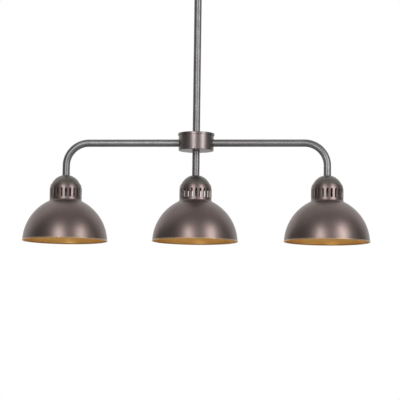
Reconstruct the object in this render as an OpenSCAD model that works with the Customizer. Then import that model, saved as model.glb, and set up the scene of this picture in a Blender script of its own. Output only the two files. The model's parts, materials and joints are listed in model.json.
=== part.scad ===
// Three-light bar pendant: a ceiling canopy with a turning and tilting swivel, a tube stem,
// a drum hub, two bent arms, a centre drop and three vented dome heads.
// The ceiling is the plane z = 0 and the lamp hangs below it. The arms run along X.

/* [Overall] */
// Depth of the arms' axis below the ceiling
arm_depth = 440; // [330:5:1500]
// Distance from the stem's axis to each outer head's axis
head_spacing = 305; // [240:1:450]
// Length from the arms' axis down to the top of a head
head_drop = 76.5; // [72:0.5:140]
// Radius of an arm's bend at the tube's centre line
bend_r = 53; // [35:1:58]

/* [Tubes] */
// Outside diameter of the stem, the arms and the centre drop
tube_d = 17.2; // [16.4:0.1:18.6]
// Wall of the tubes
tube_wall = 1.5; // [1:0.1:1.9]
// Length of the threaded bush that is brazed into a tube's end
bush_len = 12; // [8:0.5:14]
// Depth of a bush below the end of its tube
bush_inset = 1; // [0.5:0.1:2]

/* [Threads and fasteners] */
// Outside diameter of the hollow threaded pieces
thread_d = 10; // [9.4:0.1:10.6]
// Bore of the hollow threaded pieces
thread_bore = 7.8; // [7.4:0.1:8.2]
// Width across the flats of the nuts on the hollow threaded pieces
nut_flats = 14; // [13:0.5:16]
// Thickness of those nuts
nut_t = 4; // [3:0.5:5]
// Thickness of a plain washer
washer_t = 1.2; // [0.8:0.1:1.6]
// Diameter of a plain washer on a hollow threaded piece
washer_d = 19; // [17.5:0.5:22]
// Diameter of the small screws in the canopy and the swivel
screw_d = 4; // [3:0.5:4.5]
// Diametral clearance of a hole round a fixed piece
hole_gap = 0.3; // [0.2:0.05:0.6]
// Gap between pieces that are screwed or brazed together
seat_gap = 0.05; // [0.02:0.01:0.1]

/* [Leads] */
// Diameter of the sheathed cable in the stem
cable_d = 6.2; // [5.4:0.1:6.8]
// Diameter of one insulated core
core_d = 2.2; // [1.8:0.1:2.4]
// Gap between cores that lie side by side
core_gap = 0.2; // [0.1:0.05:0.3]

/* [Ceiling plate and canopy] */
// Outside diameter of the canopy
canopy_d = 120; // [112:1:150]
// Height of the canopy
canopy_h = 34; // [32:1:50]
// Wall of the canopy
canopy_wall = 1.2; // [1:0.1:2]
// Outside radius of the canopy's lower edge
canopy_edge_r = 4; // [2.5:0.5:6]
// Width of the ceiling plate's strap
plate_w = 24; // [20:1:30]
// Thickness of the ceiling plate
plate_t = 2; // [1.5:0.5:3]
// Width of the plate's two turned-down lugs
lug_w = 16; // [12:1:18]
// Depth of the lugs below the plate
lug_h = 16; // [14:1:20]
// Depth of the canopy screws' axis below the plate
lug_screw_drop = 9.6; // [8:0.1:11]
// Distance between the centres of the two ceiling-screw slots
slot_spacing = 92; // [88:1:94]
// Width of a ceiling-screw slot
slot_w = 4.5; // [4:0.5:6]
// Length of a ceiling-screw slot from end to end
slot_len = 12; // [8:1:13]
// Diameter of the hole for the supply wires
supply_hole_d = 10; // [8:1:12]
// Distance from a ceiling-screw slot's inner end to the earth screw's axis
earth_margin = 5; // [4.5:0.1:6]
// Distance from the earth screw's axis to the edge of the supply hole
supply_margin = 4.5; // [4.2:0.1:6]
// Diameter of the earth screw's head
earth_head_d = 8; // [7:0.5:9]
// Thickness of the earth screw's head
earth_head_t = 3; // [2:0.2:4]
// Length of the earth screw below its plate's top
earth_screw_len = 8; // [7.6:0.2:12]
// Diameter of a canopy screw's knurled head
canopy_head_d = 9; // [8:0.5:11]
// Thickness of a canopy screw's knurled head
canopy_head_t = 6; // [4:0.5:8]

/* [Terminal block] */
// Length of the terminal block along its ways
block_len = 16; // [14:0.5:17]
// Height of the terminal block
block_h = 11; // [10:0.5:12]
// Distance between neighbouring ways
way_pitch = 6.4; // [6:0.1:7]
// Outside diameter of a brass clamp in the block
clamp_d = 4.6; // [4:0.1:5]
// Distance from a clamp's end to the block's end
clamp_inset = 1; // [0.5:0.1:2]
// Plastic outside the block's outer ways, from their centres
block_side = 4.48; // [4:0.02:6]
// Length of the block's screw below the plate
block_screw_len = 5.5; // [5:0.5:8]
// Distance from the stem's axis to the block
block_x = 21; // [19:0.5:22]
// Radius of the cable's bend to the block, at its centre line
lead_bend_r = 13; // [11:0.5:14]

/* [Swivel] */
// Diameter of the bush's sleeve through the canopy
sleeve_d = 16; // [15:0.5:18]
// Diameter of the bush's flange under the canopy
flange_d = 24; // [22:0.5:28]
// Thickness of the bush's flange
flange_t = 3.5; // [3:0.5:5]
// Width across the flats of the bush's nut
sleeve_nut_flats = 21; // [20:0.5:24]
// Radial running clearance of the turning and tilting bearings
run_gap = 0.06; // [0.03:0.01:0.1]
// Gap between faces that turn past each other
face_gap = 0.2; // [0.1:0.05:0.3]
// Width of the stop lug and of the nose that meets it
stop_w = 3; // [2:0.5:4]
// Height of the stop lug and of the nose
stop_h = 2.5; // [2:0.1:3]
// Radial gap between the stop lug and the yoke's neck
stop_gap = 0.4; // [0.3:0.1:0.6]
// Distance by which the yoke's neck lies inside the bush's flange
yoke_neck_inset = 2.4; // [2:0.1:3]
// Diameter of the yoke's body
yoke_d = 26; // [25.5:0.1:29]
// Width of the yoke's ears across the pivot
ear_w = 15; // [14:0.5:16]
// Width of the eye between the ears
eye_w = 15; // [14:0.5:16]
// Thickness of an ear, from the eye's side to its outer face
ear_t = 4; // [3.5:0.1:4.4]
// Distance from the ears' root to the pivot
pivot_drop = 10; // [9.6:0.1:12]
// Thickness of the yoke's solid top
yoke_top_t = 6; // [5:0.5:8]
// Diameter of a pivot screw's head
pivot_head_d = 7; // [6:0.5:8]
// Thickness of a pivot screw's head
pivot_head_t = 2.4; // [2:0.1:3]
// Thickness of a pivot washer
pivot_washer_t = 0.8; // [0.5:0.1:1.2]
// Distance from the pivot to the flat shoulder on the stem's eye
shoulder_drop = 8.6; // [8.4:0.1:10]
// Height of that shoulder
shoulder_h = 5.4; // [4:0.2:8]
// Length of the eye's spigot in the stem
spigot_len = 14; // [10:1:20]
// Length of bare flex, left out between the cable's two stretches at the pivot
flex_gap = 2.2; // [2:0.1:3]

/* [Hub] */
// Outside diameter of the hub's drum
hub_d = 81.5; // [76:0.5:100]
// Wall and floor of the drum
hub_wall = 2; // [1.5:0.1:2.5]
// Depth of the drum's floor below the arms' axis
hub_below = 18; // [16:0.5:24]
// Height of the lid's top above the arms' axis
hub_above = 22.5; // [19:0.5:28]
// Wall of the pressed lid
lid_wall = 1.6; // [1.2:0.1:2]
// Depth of the lid's skirt
lid_skirt = 5.5; // [4.5:0.5:7]
// Radius of the drum's and the lid's outer edges
hub_edge_r = 0.9; // [0.5:0.1:1.1]
// Height of the wire window in the rod through the hub
window_h = 12; // [10:1:15]
// Width of that window
window_w = 7.4; // [7:0.2:8]
// Length of a connector in the hub
connector_len = 12; // [9:0.5:13]
// Width and height of a connector in the hub
connector_w = 10; // [9:0.5:12]
// Gap between the rod through the hub and a connector
connector_gap = 4; // [3:0.1:5]
// Thickness of a saddle washer inside the drum, at its thickest
arm_washer_t = 2.5; // [2:0.1:3]
// Thread that shows past an arm's nut inside the drum
nipple_show = 4.5; // [2:0.5:5]

/* [Heads] */
// Largest radius of the dome's sheet, just above the rim's bead
dome_r = 99; // [92:0.5:110]
// Distance by which the dome's arc is centred past the head's axis
dome_offset = 8; // [4:0.5:12]
// Depth of that arc's centre below the rim
dome_below = 3; // [1:0.5:6]
// Radius of the gallery above the dome
gallery_r = 37.3; // [35:0.1:42]
// Height from the dome's mouth in the gallery to the seam under the cap
gallery_h = 38.5; // [37:0.5:50]
// Radius of the hollow curve between the gallery and the dome
neck_r = 6; // [4:0.5:8]
// Depth from the seam to the centre of the cap's round
crown_drop = 13.5; // [12:0.5:15]
// Radius of the flat on top of the cap, where the tube stands
cap_flat_r = 11; // [9.6:0.1:13]
// Step between the cap and the wider gallery
cap_step = 1.1; // [0.6:0.1:1.4]
// Sheet thickness of the shade and the cap
sheet_t = 1.2; // [1:0.1:1.4]
// Diameter of the rolled bead on the rim
bead_d = 2.8; // [2.4:0.1:3.4]
// Distance by which the bead stands out past the dome's sheet
bead_proud = 1; // [0.6:0.1:1.4]
// Radius of the opening in the shade's top flange
mouth_r = 26; // [22:0.5:28]
// Number of vent slots round a gallery
vent_count = 23; // [12:1:26]
// Width of a vent slot
vent_w = 4.5; // [4:0.1:5.6]
// Height of a vent slot
vent_h = 21; // [14:0.5:22]
// Depth of the slots' upper ends below the seam
vent_drop = 10.5; // [9:0.5:11.5]
// Turn of the left head's slots from the front
left_turn = 10.6; // [0:0.1:15.6]
// Turn of the centre head's slots from the front
centre_turn = 8; // [0:0.1:15.6]
// Turn of the right head's slots from the front
right_turn = 2.3; // [0:0.1:15.6]

/* [Lampholders] */
// Thickness of the plate that clamps a shade to its cap
clamp_t = 1.5; // [1:0.1:2]
// Gap between that plate's edge and the shade
clamp_gap = 1; // [0.5:0.1:2]
// Depth from the seam to the top of a lampholder
holder_drop = 30.5; // [30:0.5:36]
// Outside diameter of a lampholder's body
holder_d = 40; // [38:0.5:44]
// Diameter of the neck on a lampholder's cover
holder_neck_d = 18; // [15:0.5:22]
// Height of the neck on a lampholder's cover
neck_tube_h = 9; // [7:0.5:10]
// Height of a lampholder's cover
cover_h = 18; // [16:0.5:22]
// Radius that the cover loses at its shoulder
cover_shoulder = 3; // [2:0.5:4]
// Height of a lampholder's body below its cover
holder_h = 40; // [38:0.5:48]
// Wall of a lampholder's body and cover
holder_wall = 1.8; // [1.4:0.1:2.2]
// Bore of the screw shell for the lamp
lamp_bore = 26.6; // [26.2:0.1:27]
// Wall of the screw shell
shell_t = 0.6; // [0.4:0.1:0.8]
// Thickness of the insulating core
core_t = 16; // [14:0.5:17]
// Distance from the cover's lower edge down to the core
core_drop = 2; // [1.5:0.5:4]
// Thickness of the ledge that carries the core
ledge_t = 2; // [1.5:0.5:3]
// Depth of the recess for the contact in the core
recess_h = 3; // [2.5:0.1:4]
// Radius of that recess
recess_r = 9.3; // [8.8:0.1:10]
// Length of the contact strip
contact_len = 16; // [14:0.5:17]
// Width of the contact strip
contact_w = 5; // [4:0.5:6]
// Thickness of the contact strip
contact_t = 0.8; // [0.5:0.1:1]
// Diameter of the contact's stud
contact_d = 6; // [5:0.5:7]
// Height of that stud below the strip
contact_h = 2; // [1.5:0.1:2.1]

/* [Hidden] */

BRONZE = [0.28, 0.24, 0.22];
STEEL = [0.72, 0.72, 0.74];
BRASS = [0.78, 0.62, 0.33];
BLACK = [0.12, 0.12, 0.12];
PORCELAIN = [0.93, 0.92, 0.88];

$fn = 72;
// Lap between solids that are joined, and the run of a cut past the face that it opens
eps = 0.01;
over = 1;
// Lap of the arcs and straights in a spun sheet's profile, as a length and in degrees
lap = 0.1;
arc_lap = 0.2;

tube_r = tube_d / 2;
tube_bore_r = tube_r - tube_wall;
thread_r = thread_d / 2;
thread_bore_r = thread_bore / 2;
thread_hole_r = thread_r + hole_gap / 2;
core_pitch = core_d + core_gap;
sheath_pitch = core_pitch * 0.8;
grip_len = bush_len * 0.75;
arm_z = -arm_depth;

// Canopy and ceiling plate
canopy_r = canopy_d / 2;
canopy_in_r = canopy_r - canopy_wall;
canopy_floor_z = -canopy_h + canopy_wall;
lug_gap = 0.4;
lug_x = sqrt(canopy_in_r * canopy_in_r - lug_w * lug_w / 4) - lug_gap;
lug_screw_z = -plate_t - lug_screw_drop;
screw_r = screw_d / 2;
screw_reach = 4;
earth_x = -slot_spacing / 2 + slot_len / 2 + earth_margin;
supply_hole_x = earth_x + supply_margin + supply_hole_d / 2;
fixing_x = block_x + block_len / 2;
block_w = way_pitch * 2 + block_side * 2;
way_z = -plate_t - block_h / 2;
middle_clamp_len = block_len / 2 - screw_r - clamp_inset * 2;

// Swivel
flange_z = -canopy_h - flange_t;
yoke_z = flange_z - face_gap;
sleeve_r = sleeve_d / 2;
bush_washer_rim = 3.5;
bush_washer_r = sleeve_r + bush_washer_rim;
yoke_washer_trim = 1.5;
yoke_washer_r = washer_d / 2 - yoke_washer_trim;
thread_end = 1;
sleeve_top_z = canopy_floor_z + washer_t + nut_t + thread_end;
yoke_stack_z = sleeve_top_z + face_gap;
yoke_spigot_top_z = yoke_stack_z + washer_t + nut_t + thread_end / 2;
ear_root_z = yoke_z - yoke_top_t;
pivot_z = ear_root_z - pivot_drop;
ear_r = ear_w / 2;
eye_half = eye_w / 2;
ear_out_x = eye_half + face_gap + ear_t;
shoulder_z = pivot_z - shoulder_drop;
stem_top_z = shoulder_z - shoulder_h;
washer_rim = 0.4;
pivot_washer_r = pivot_head_d / 2 + washer_rim;
yoke_neck_r = flange_d / 2 - yoke_neck_inset;
neck_step = 0.7;
yoke_neck_h = stop_h + neck_step;

// Cable in the canopy
lead_bend_z = way_z - lead_bend_r;
cable_r = cable_d / 2;
core_r = core_d / 2;
conductor_r = core_r * 0.6;

// Hub
hub_r = hub_d / 2;
hub_in_r = hub_r - hub_wall;
hub_bottom_z = arm_z - hub_below;
lid_top_z = arm_z + hub_above;
lid_r = hub_r + seat_gap + lid_wall;
hub_wall_top_z = lid_top_z - lid_wall - seat_gap;
connector_x = thread_r + connector_gap;

// Heads, measured down from the arms' axis
cap_top_z = arm_z - head_drop;
cap_r = gallery_r - cap_step;
crown_z = cap_top_z - sqrt(cap_r * cap_r - cap_flat_r * cap_flat_r);
seam_z = crown_z + crown_drop;
dome_arc_r = dome_r + dome_offset;
dome_z = seam_z - gallery_h - sqrt(dome_arc_r * dome_arc_r - pow(gallery_r + dome_offset, 2));
rim_z = dome_z + dome_below;
neck_x = gallery_r + neck_r;
neck_z = dome_z + sqrt(pow(dome_arc_r + neck_r, 2) - pow(neck_x + dome_offset, 2));
neck_angle = atan2(neck_z - dome_z, neck_x + dome_offset);
clamp_z = seam_z - sheet_t;
head_washer_z = clamp_z - clamp_t;
head_nut_z = head_washer_z - washer_t;
holder_top_z = seam_z - holder_drop;
cover_z = holder_top_z - cover_h;
cover_side_share = 0.4;
cover_shoulder_share = 0.75;
holder_mouth_z = cover_z - holder_h;
core_top_z = cover_z - core_drop;
core_z = core_top_z - core_t;
holder_r = holder_d / 2;
HEADS = [-head_spacing, 0, head_spacing];

// Part of a flat ring between two angles, for profiles that are spun
module ring_sector(inner, outer, from, to) {
    reach = outer * 2;
    intersection() {
        difference() {
            circle(r = outer);
            circle(r = inner);
        }
        polygon([[0, 0], [reach * cos(from), reach * sin(from)], [reach * cos(to), reach * sin(to)]]);
    }
}

// Flat outline with round ends, standing along Y
module stadium(width, length) {
    square([width, length - width], center = true);
    for (side = [-1, 1])
        translate([0, side * (length - width) / 2]) circle(d = width);
}

// Ring standing on z = 0
module tube(outer_r, inner_r, height) {
    difference() {
        cylinder(r = outer_r, h = height);
        translate([0, 0, -over]) cylinder(r = inner_r, h = height + over * 2);
    }
}

// Hexagonal nut standing on z = 0
module hex_nut(flats, hole_r, height) {
    difference() {
        cylinder(d = flats / cos(30), h = height, $fn = 6);
        translate([0, 0, -over]) cylinder(r = hole_r, h = height + over * 2);
    }
}

// Washer standing on z = 0
module washer(outer_r, hole_r) {
    tube(outer_r, hole_r, washer_t);
}

// Turns +Z to +X for side = 1 and to -X for side = -1
module sideways(side) {
    rotate([0, side * 90, 0]) children();
}

module ceiling_plate() {
    color(STEEL) difference() {
        union() {
            translate([-lug_x, -plate_w / 2, -plate_t]) cube([lug_x * 2, plate_w, plate_t]);
            for (side = [-1, 1])
                translate([side * (lug_x - plate_t / 2), 0, -plate_t - lug_h / 2])
                    cube([plate_t, lug_w, lug_h + eps], center = true);
        }
        for (side = [-1, 1]) {
            translate([side * slot_spacing / 2, 0, -plate_t - over]) linear_extrude(plate_t + over * 2)
                rotate(90) stadium(slot_w, slot_len);
            translate([side * (lug_x - plate_t - over), 0, lug_screw_z]) sideways(side)
                cylinder(r = screw_r + seat_gap, h = plate_t + over * 2);
            for (corner = [-1, 1])
                translate([side * lug_x, corner * plate_w / 2, -plate_t / 2])
                    cube([plate_w - lug_w, plate_w - lug_w, plate_t + over], center = true);
        }
        translate([supply_hole_x, 0, -plate_t - over]) cylinder(d = supply_hole_d, h = plate_t + over * 2);
        for (spot = [fixing_x, earth_x])
            translate([spot, 0, -plate_t - over]) cylinder(r = screw_r + seat_gap, h = plate_t + over * 2);
    }
}

module canopy_profile() {
    difference() {
        union() {
            translate([0, -canopy_h]) square([canopy_r - canopy_edge_r, canopy_wall]);
            translate([canopy_in_r, -canopy_h + canopy_edge_r])
                square([canopy_wall, canopy_h - canopy_edge_r]);
            translate([canopy_r - canopy_edge_r, -canopy_h + canopy_edge_r])
                ring_sector(canopy_edge_r - canopy_wall, canopy_edge_r, 270, 360);
        }
        translate([0, -canopy_h - over]) square([sleeve_r + hole_gap / 2, canopy_wall + over * 2]);
    }
}

module canopy() {
    color(BRONZE) difference() {
        rotate_extrude() canopy_profile();
        for (side = [-1, 1])
            translate([side * (canopy_in_r - over), 0, lug_screw_z]) sideways(side)
                cylinder(r = screw_r + hole_gap / 2, h = canopy_wall + over * 2);
    }
}

module canopy_screws() {
    color(BRONZE) for (side = [-1, 1])
        translate([side * (lug_x - screw_reach), 0, lug_screw_z]) sideways(side) {
            cylinder(r = screw_r, h = canopy_r - lug_x + screw_reach + over);
            translate([0, 0, canopy_r - lug_x + screw_reach + seat_gap])
                cylinder(d = canopy_head_d, h = canopy_head_t);
        }
}

// The screw that holds the terminal block and the earth screw
module plate_screws() {
    color(BRASS) {
        translate([fixing_x, 0, -plate_t - block_screw_len])
            cylinder(r = screw_r, h = plate_t + block_screw_len);
        translate([earth_x, 0, -earth_screw_len]) cylinder(r = screw_r, h = earth_screw_len);
        translate([earth_x, 0, -plate_t - seat_gap - earth_head_t])
            cylinder(d = earth_head_d, h = earth_head_t);
    }
}

module terminal_block() {
    color(PORCELAIN) difference() {
        translate([block_x, -block_w / 2, -plate_t - block_h]) cube([block_len, block_w, block_h - seat_gap]);
        for (way = [-1, 0, 1])
            translate([block_x - over, way * way_pitch, way_z]) rotate([0, 90, 0])
                cylinder(r = clamp_d / 2 + seat_gap,
                         h = over + (way == 0 ? middle_clamp_len + clamp_inset : block_len + over));
        translate([fixing_x, 0, -plate_t - block_h - over])
            cylinder(r = screw_r + seat_gap, h = block_h + over * 2);
    }
}

module terminal_clamps() {
    color(BRASS) for (way = [-1, 0, 1])
        translate([block_x + clamp_inset, way * way_pitch, way_z]) rotate([0, 90, 0])
            tube(clamp_d / 2, core_r + seat_gap, way == 0 ? middle_clamp_len : block_len - clamp_inset * 2);
}

// Sheathed lead from the terminal block down to the swivel
module canopy_lead() {
    bottom = pivot_z + ear_r + flex_gap / 3;
    color(BLACK) {
        for (way = [-1, 0, 1])
            translate([lead_bend_r - core_d, way * sheath_pitch, way_z]) core_to_way(way);
        translate([0, 0, bottom]) cylinder(r = cable_r, h = lead_bend_z - bottom);
        translate([lead_bend_r, 0, lead_bend_z]) rotate([90, 0, 0]) rotate([0, 0, 90])
            rotate_extrude(angle = 90) translate([lead_bend_r, 0]) circle(r = cable_r);
    }
}

// One core that spreads from the sheath's end to its way in the block
module core_to_way(way) {
    along = block_x - lead_bend_r + core_d;
    across = way * (way_pitch - sheath_pitch);
    rotate([0, 90, atan2(across, along)]) cylinder(r = core_r, h = norm([along, across]) - core_r);
}

module swivel_bush() {
    color(BRONZE) difference() {
        union() {
            translate([0, 0, flange_z]) cylinder(d = flange_d, h = flange_t);
            translate([0, 0, flange_z + over]) cylinder(r = sleeve_r, h = sleeve_top_z - flange_z - over);
            intersection() {
                translate([-stop_w / 2, 0, flange_z - stop_h]) cube([stop_w, flange_d, stop_h + over]);
                translate([0, 0, flange_z - stop_h])
                    tube(flange_d / 2, yoke_neck_r + stop_gap, stop_h + over);
            }
        }
        translate([0, 0, flange_z - over])
            cylinder(r = thread_r + run_gap, h = sleeve_top_z - flange_z + over * 2);
    }
}

module bush_washer() {
    color(STEEL) translate([0, 0, canopy_floor_z + seat_gap])
        tube(bush_washer_r, sleeve_r + hole_gap / 2, washer_t - seat_gap);
}

module bush_nut() {
    color(STEEL) translate([0, 0, canopy_floor_z + washer_t + seat_gap])
        hex_nut(sleeve_nut_flats, sleeve_r + seat_gap, nut_t - seat_gap);
}

// The fork that turns in the bush, with its spigot up through it
module swivel_yoke() {
    color(BRONZE) difference() {
        union() {
            translate([0, 0, yoke_z - yoke_neck_h]) cylinder(r = yoke_neck_r, h = yoke_neck_h);
            translate([0, 0, yoke_z - over]) cylinder(r = thread_r, h = yoke_spigot_top_z - yoke_z + over);
            intersection() {
                translate([-stop_w / 2, -flange_d, yoke_z - yoke_neck_h]) cube([stop_w, flange_d, stop_h]);
                translate([0, 0, yoke_z - yoke_neck_h]) cylinder(d = flange_d, h = stop_h);
            }
            difference() {
                intersection() {
                    translate([0, 0, pivot_z - ear_r - over])
                        cylinder(d = yoke_d, h = yoke_z - yoke_neck_h - pivot_z + ear_r + over + eps);
                    translate([-ear_out_x, -yoke_d, pivot_z - ear_r - over])
                        cube([ear_out_x * 2, yoke_d * 2, yoke_z - pivot_z + ear_r + over * 2]);
                    union() {
                        translate([-yoke_d, -ear_r, pivot_z]) cube([yoke_d * 2, ear_w, yoke_z - pivot_z]);
                        translate([-yoke_d, 0, pivot_z]) rotate([0, 90, 0])
                            cylinder(r = ear_r, h = yoke_d * 2);
                        translate([0, 0, ear_root_z]) cylinder(d = yoke_d, h = yoke_z - ear_root_z);
                    }
                }
                translate([-eye_half - face_gap, -yoke_d, pivot_z - yoke_d])
                    cube([eye_w + face_gap * 2, yoke_d * 2, yoke_d + ear_root_z - pivot_z]);
                translate([-yoke_d, 0, pivot_z]) rotate([0, 90, 0])
                    cylinder(r = screw_r + run_gap, h = yoke_d * 2);
            }
        }
        translate([0, 0, ear_root_z - over])
            cylinder(r = thread_bore_r, h = yoke_spigot_top_z - ear_root_z + over * 2);
    }
}

module yoke_washer() {
    color(STEEL) translate([0, 0, yoke_stack_z]) washer(yoke_washer_r, thread_r + seat_gap);
}

module yoke_nut() {
    color(STEEL) translate([0, 0, yoke_stack_z + washer_t + seat_gap])
        hex_nut(nut_flats, thread_r + seat_gap, nut_t - seat_gap);
}

// The eye on the stem, with the spigot that is brazed into the tube
module stem_eye() {
    color(BRONZE) difference() {
        union() {
            translate([-eye_half, 0, pivot_z]) rotate([0, 90, 0]) cylinder(r = ear_r, h = eye_w);
            intersection() {
                translate([-eye_half, -ear_r, shoulder_z - over]) cube([eye_w, ear_w, shoulder_drop + over]);
                translate([0, 0, shoulder_z - over]) cylinder(r = tube_r, h = shoulder_drop + over);
            }
            translate([0, 0, stem_top_z]) cylinder(r = tube_r, h = shoulder_h);
            translate([0, 0, stem_top_z - spigot_len])
                cylinder(r = tube_bore_r - seat_gap, h = spigot_len + over);
        }
        translate([0, 0, stem_top_z - spigot_len - over])
            cylinder(r = thread_bore_r, h = spigot_len + shoulder_h + shoulder_drop + ear_r + over * 2);
        translate([-eye_w, 0, pivot_z]) rotate([0, 90, 0]) cylinder(r = screw_r + seat_gap, h = eye_w * 2);
    }
}

module pivot_screws() {
    head_x = ear_out_x + face_gap + pivot_washer_t + seat_gap;
    color(STEEL) for (side = [-1, 1])
        translate([side * (thread_bore_r + seat_gap), 0, pivot_z]) sideways(side) {
            cylinder(r = screw_r, h = head_x - thread_bore_r);
            translate([0, 0, head_x - thread_bore_r - seat_gap]) cylinder(d = pivot_head_d, h = pivot_head_t);
        }
}

module pivot_washers() {
    color(STEEL) for (side = [-1, 1])
        translate([side * (ear_out_x + face_gap), 0, pivot_z]) sideways(side)
            tube(pivot_washer_r, screw_r + seat_gap, pivot_washer_t);
}

module stem_tube() {
    color(BRONZE) translate([0, 0, lid_top_z + seat_gap])
        tube(tube_r, tube_bore_r, stem_top_z - lid_top_z - seat_gap * 2);
}

// Cable in the stem, with its cores led out sideways to the hub's connectors
module stem_cable() {
    bottom = arm_z - window_h / 3;
    color(BLACK) {
        translate([0, 0, bottom]) cylinder(r = cable_r, h = pivot_z + ear_r - flex_gap * 2 / 3 - bottom);
        for (row = [-1, 0, 1])
            translate([-connector_x, row * core_pitch, arm_z]) rotate([0, 90, 0])
                cylinder(r = core_r, h = connector_x * 2);
    }
}

module hub_body_profile() {
    difference() {
        translate([0, hub_bottom_z]) square([hub_r - hub_edge_r, hub_wall_top_z - hub_bottom_z]);
        translate([-over, hub_bottom_z + hub_wall]) square([hub_in_r + over, hub_above + hub_below]);
        translate([-over, hub_bottom_z - over]) square([thread_hole_r + over, hub_wall + over * 2]);
    }
    translate([hub_r - hub_edge_r - eps, hub_bottom_z + hub_edge_r])
        square([hub_edge_r + eps, hub_wall_top_z - hub_bottom_z - hub_edge_r]);
    translate([hub_r - hub_edge_r, hub_bottom_z + hub_edge_r]) circle(r = hub_edge_r);
}

module hub_body() {
    color(BRONZE) difference() {
        rotate_extrude() hub_body_profile();
        for (side = [-1, 1])
            translate([side * (hub_in_r - over), 0, arm_z]) sideways(side)
                cylinder(r = thread_hole_r, h = hub_wall + over * 2);
    }
}

module hub_lid_profile() {
    difference() {
        union() {
            translate([0, lid_top_z - lid_wall]) square([lid_r - hub_edge_r, lid_wall]);
            translate([lid_r - lid_wall, lid_top_z - lid_skirt]) square([lid_wall, lid_skirt - hub_edge_r]);
            translate([lid_r - hub_edge_r, lid_top_z - hub_edge_r]) circle(r = hub_edge_r);
            translate([lid_r - lid_wall, lid_top_z - lid_wall]) square(lid_wall - hub_edge_r);
        }
        translate([-over, lid_top_z - lid_wall - over]) square([thread_hole_r + over, lid_wall + over * 2]);
    }
}

module hub_lid() {
    color(BRONZE) rotate_extrude() hub_lid_profile();
}

// Hollow threaded rod that pulls the stem and the centre drop together through the hub
module hub_rod() {
    top = lid_top_z + bush_inset + grip_len;
    bottom = hub_bottom_z - bush_inset - grip_len;
    color(STEEL) difference() {
        translate([0, 0, bottom]) tube(thread_r, thread_bore_r, top - bottom);
        translate([0, 0, arm_z]) cube([thread_d * 2, window_w, window_h], center = true);
    }
}

module tube_bush() {
    tube(tube_bore_r - seat_gap, thread_r + seat_gap, bush_len);
}

// Threaded bushes brazed into the ends of the tubes
module tube_bushes() {
    color(BRASS) {
        translate([0, 0, lid_top_z + bush_inset]) tube_bush();
        translate([0, 0, hub_bottom_z - bush_inset - bush_len]) tube_bush();
        for (side = [-1, 1]) translate([side * (hub_r + bush_inset), 0, arm_z]) sideways(side) tube_bush();
        for (spot = HEADS) translate([spot, 0, cap_top_z + bush_inset]) tube_bush();
    }
}

module arm_nipples() {
    inner = hub_in_r - arm_washer_t - nut_t - nipple_show;
    color(STEEL) for (side = [-1, 1])
        translate([side * inner, 0, arm_z]) sideways(side)
            tube(thread_r, thread_bore_r, hub_r + bush_inset + grip_len - inner);
}

// Saddle washers, hollowed to the drum's inner wall
module arm_washers() {
    color(STEEL) for (side = [-1, 1])
        intersection() {
            translate([side * (hub_in_r - arm_washer_t), 0, arm_z]) sideways(side)
                tube(washer_d / 2, thread_r + seat_gap, arm_washer_t + over);
            translate([0, 0, arm_z - washer_d])
                cylinder(r = hub_in_r - seat_gap, h = washer_d * 2, $fn = 360);
        }
}

module arm_nuts() {
    color(STEEL) for (side = [-1, 1])
        translate([side * (hub_in_r - arm_washer_t - nut_t - seat_gap), 0, arm_z]) sideways(side)
            hex_nut(nut_flats, thread_r + seat_gap, nut_t);
}

module hub_connectors() {
    color(PORCELAIN) for (side = [-1, 1])
        difference() {
            translate([side * (connector_x + connector_len / 2 + seat_gap), 0, arm_z])
                cube([connector_len, connector_w, connector_w], center = true);
            for (row = [-1, 0, 1])
                translate([side * (connector_x + connector_len / 2), row * core_pitch, arm_z])
                    rotate([0, 90, 0])
                        cylinder(r = conductor_r, h = connector_len + over * 2, center = true);
        }
}

// A round section swept along an arm's route: out from the hub, round the bend and down
module arm_route(radius, from_x, to_z) {
    translate([from_x, 0, arm_z]) rotate([0, 90, 0])
        cylinder(r = radius, h = head_spacing - bend_r - from_x);
    translate([head_spacing - bend_r, 0, arm_z - bend_r]) rotate([90, 0, 0]) rotate_extrude(angle = 90)
        translate([bend_r, 0]) circle(r = radius);
    translate([head_spacing, 0, to_z]) cylinder(r = radius, h = arm_z - bend_r - to_z);
}

module arm() {
    difference() {
        arm_route(tube_r, hub_r - over * 2, cap_top_z + seat_gap);
        arm_route(tube_bore_r, hub_r - over * 4, cap_top_z - over);
        translate([0, 0, arm_z - tube_d]) cylinder(r = hub_r + seat_gap, h = tube_d * 2);
    }
}

module left_arm() {
    color(BRONZE) mirror([1, 0, 0]) arm();
}

module right_arm() {
    color(BRONZE) arm();
}

module centre_drop() {
    color(BRONZE) translate([0, 0, cap_top_z + seat_gap])
        tube(tube_r, tube_bore_r, hub_bottom_z - cap_top_z - seat_gap * 2);
}

module arm_leads() {
    for (row = [-1, 0, 1])
        translate([0, row * core_pitch, 0])
            arm_route(core_r, connector_x + connector_len + seat_gap * 2, core_top_z + seat_gap);
}

module left_leads() {
    color(BLACK) mirror([1, 0, 0]) arm_leads();
}

module right_leads() {
    color(BLACK) arm_leads();
}

module centre_leads() {
    top = arm_z - window_h / 3 - seat_gap;
    color(BLACK) for (row = [-1, 0, 1])
        translate([0, row * core_pitch, core_top_z + seat_gap])
            cylinder(r = core_r, h = top - core_top_z - seat_gap);
}

// Hollow threaded pieces that carry the heads and their lampholders
module head_nipples() {
    top = cap_top_z + bush_inset + grip_len;
    bottom = holder_top_z - neck_tube_h;
    color(STEEL) for (spot = HEADS) translate([spot, 0, bottom]) tube(thread_r, thread_bore_r, top - bottom);
}

module head_washers() {
    color(STEEL) for (spot = HEADS)
        translate([spot, 0, head_nut_z]) washer(washer_d / 2, thread_r + seat_gap);
}

module head_nuts() {
    color(STEEL) for (spot = HEADS)
        translate([spot, 0, head_nut_z - nut_t - seat_gap]) hex_nut(nut_flats, thread_r + seat_gap, nut_t);
}

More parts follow.
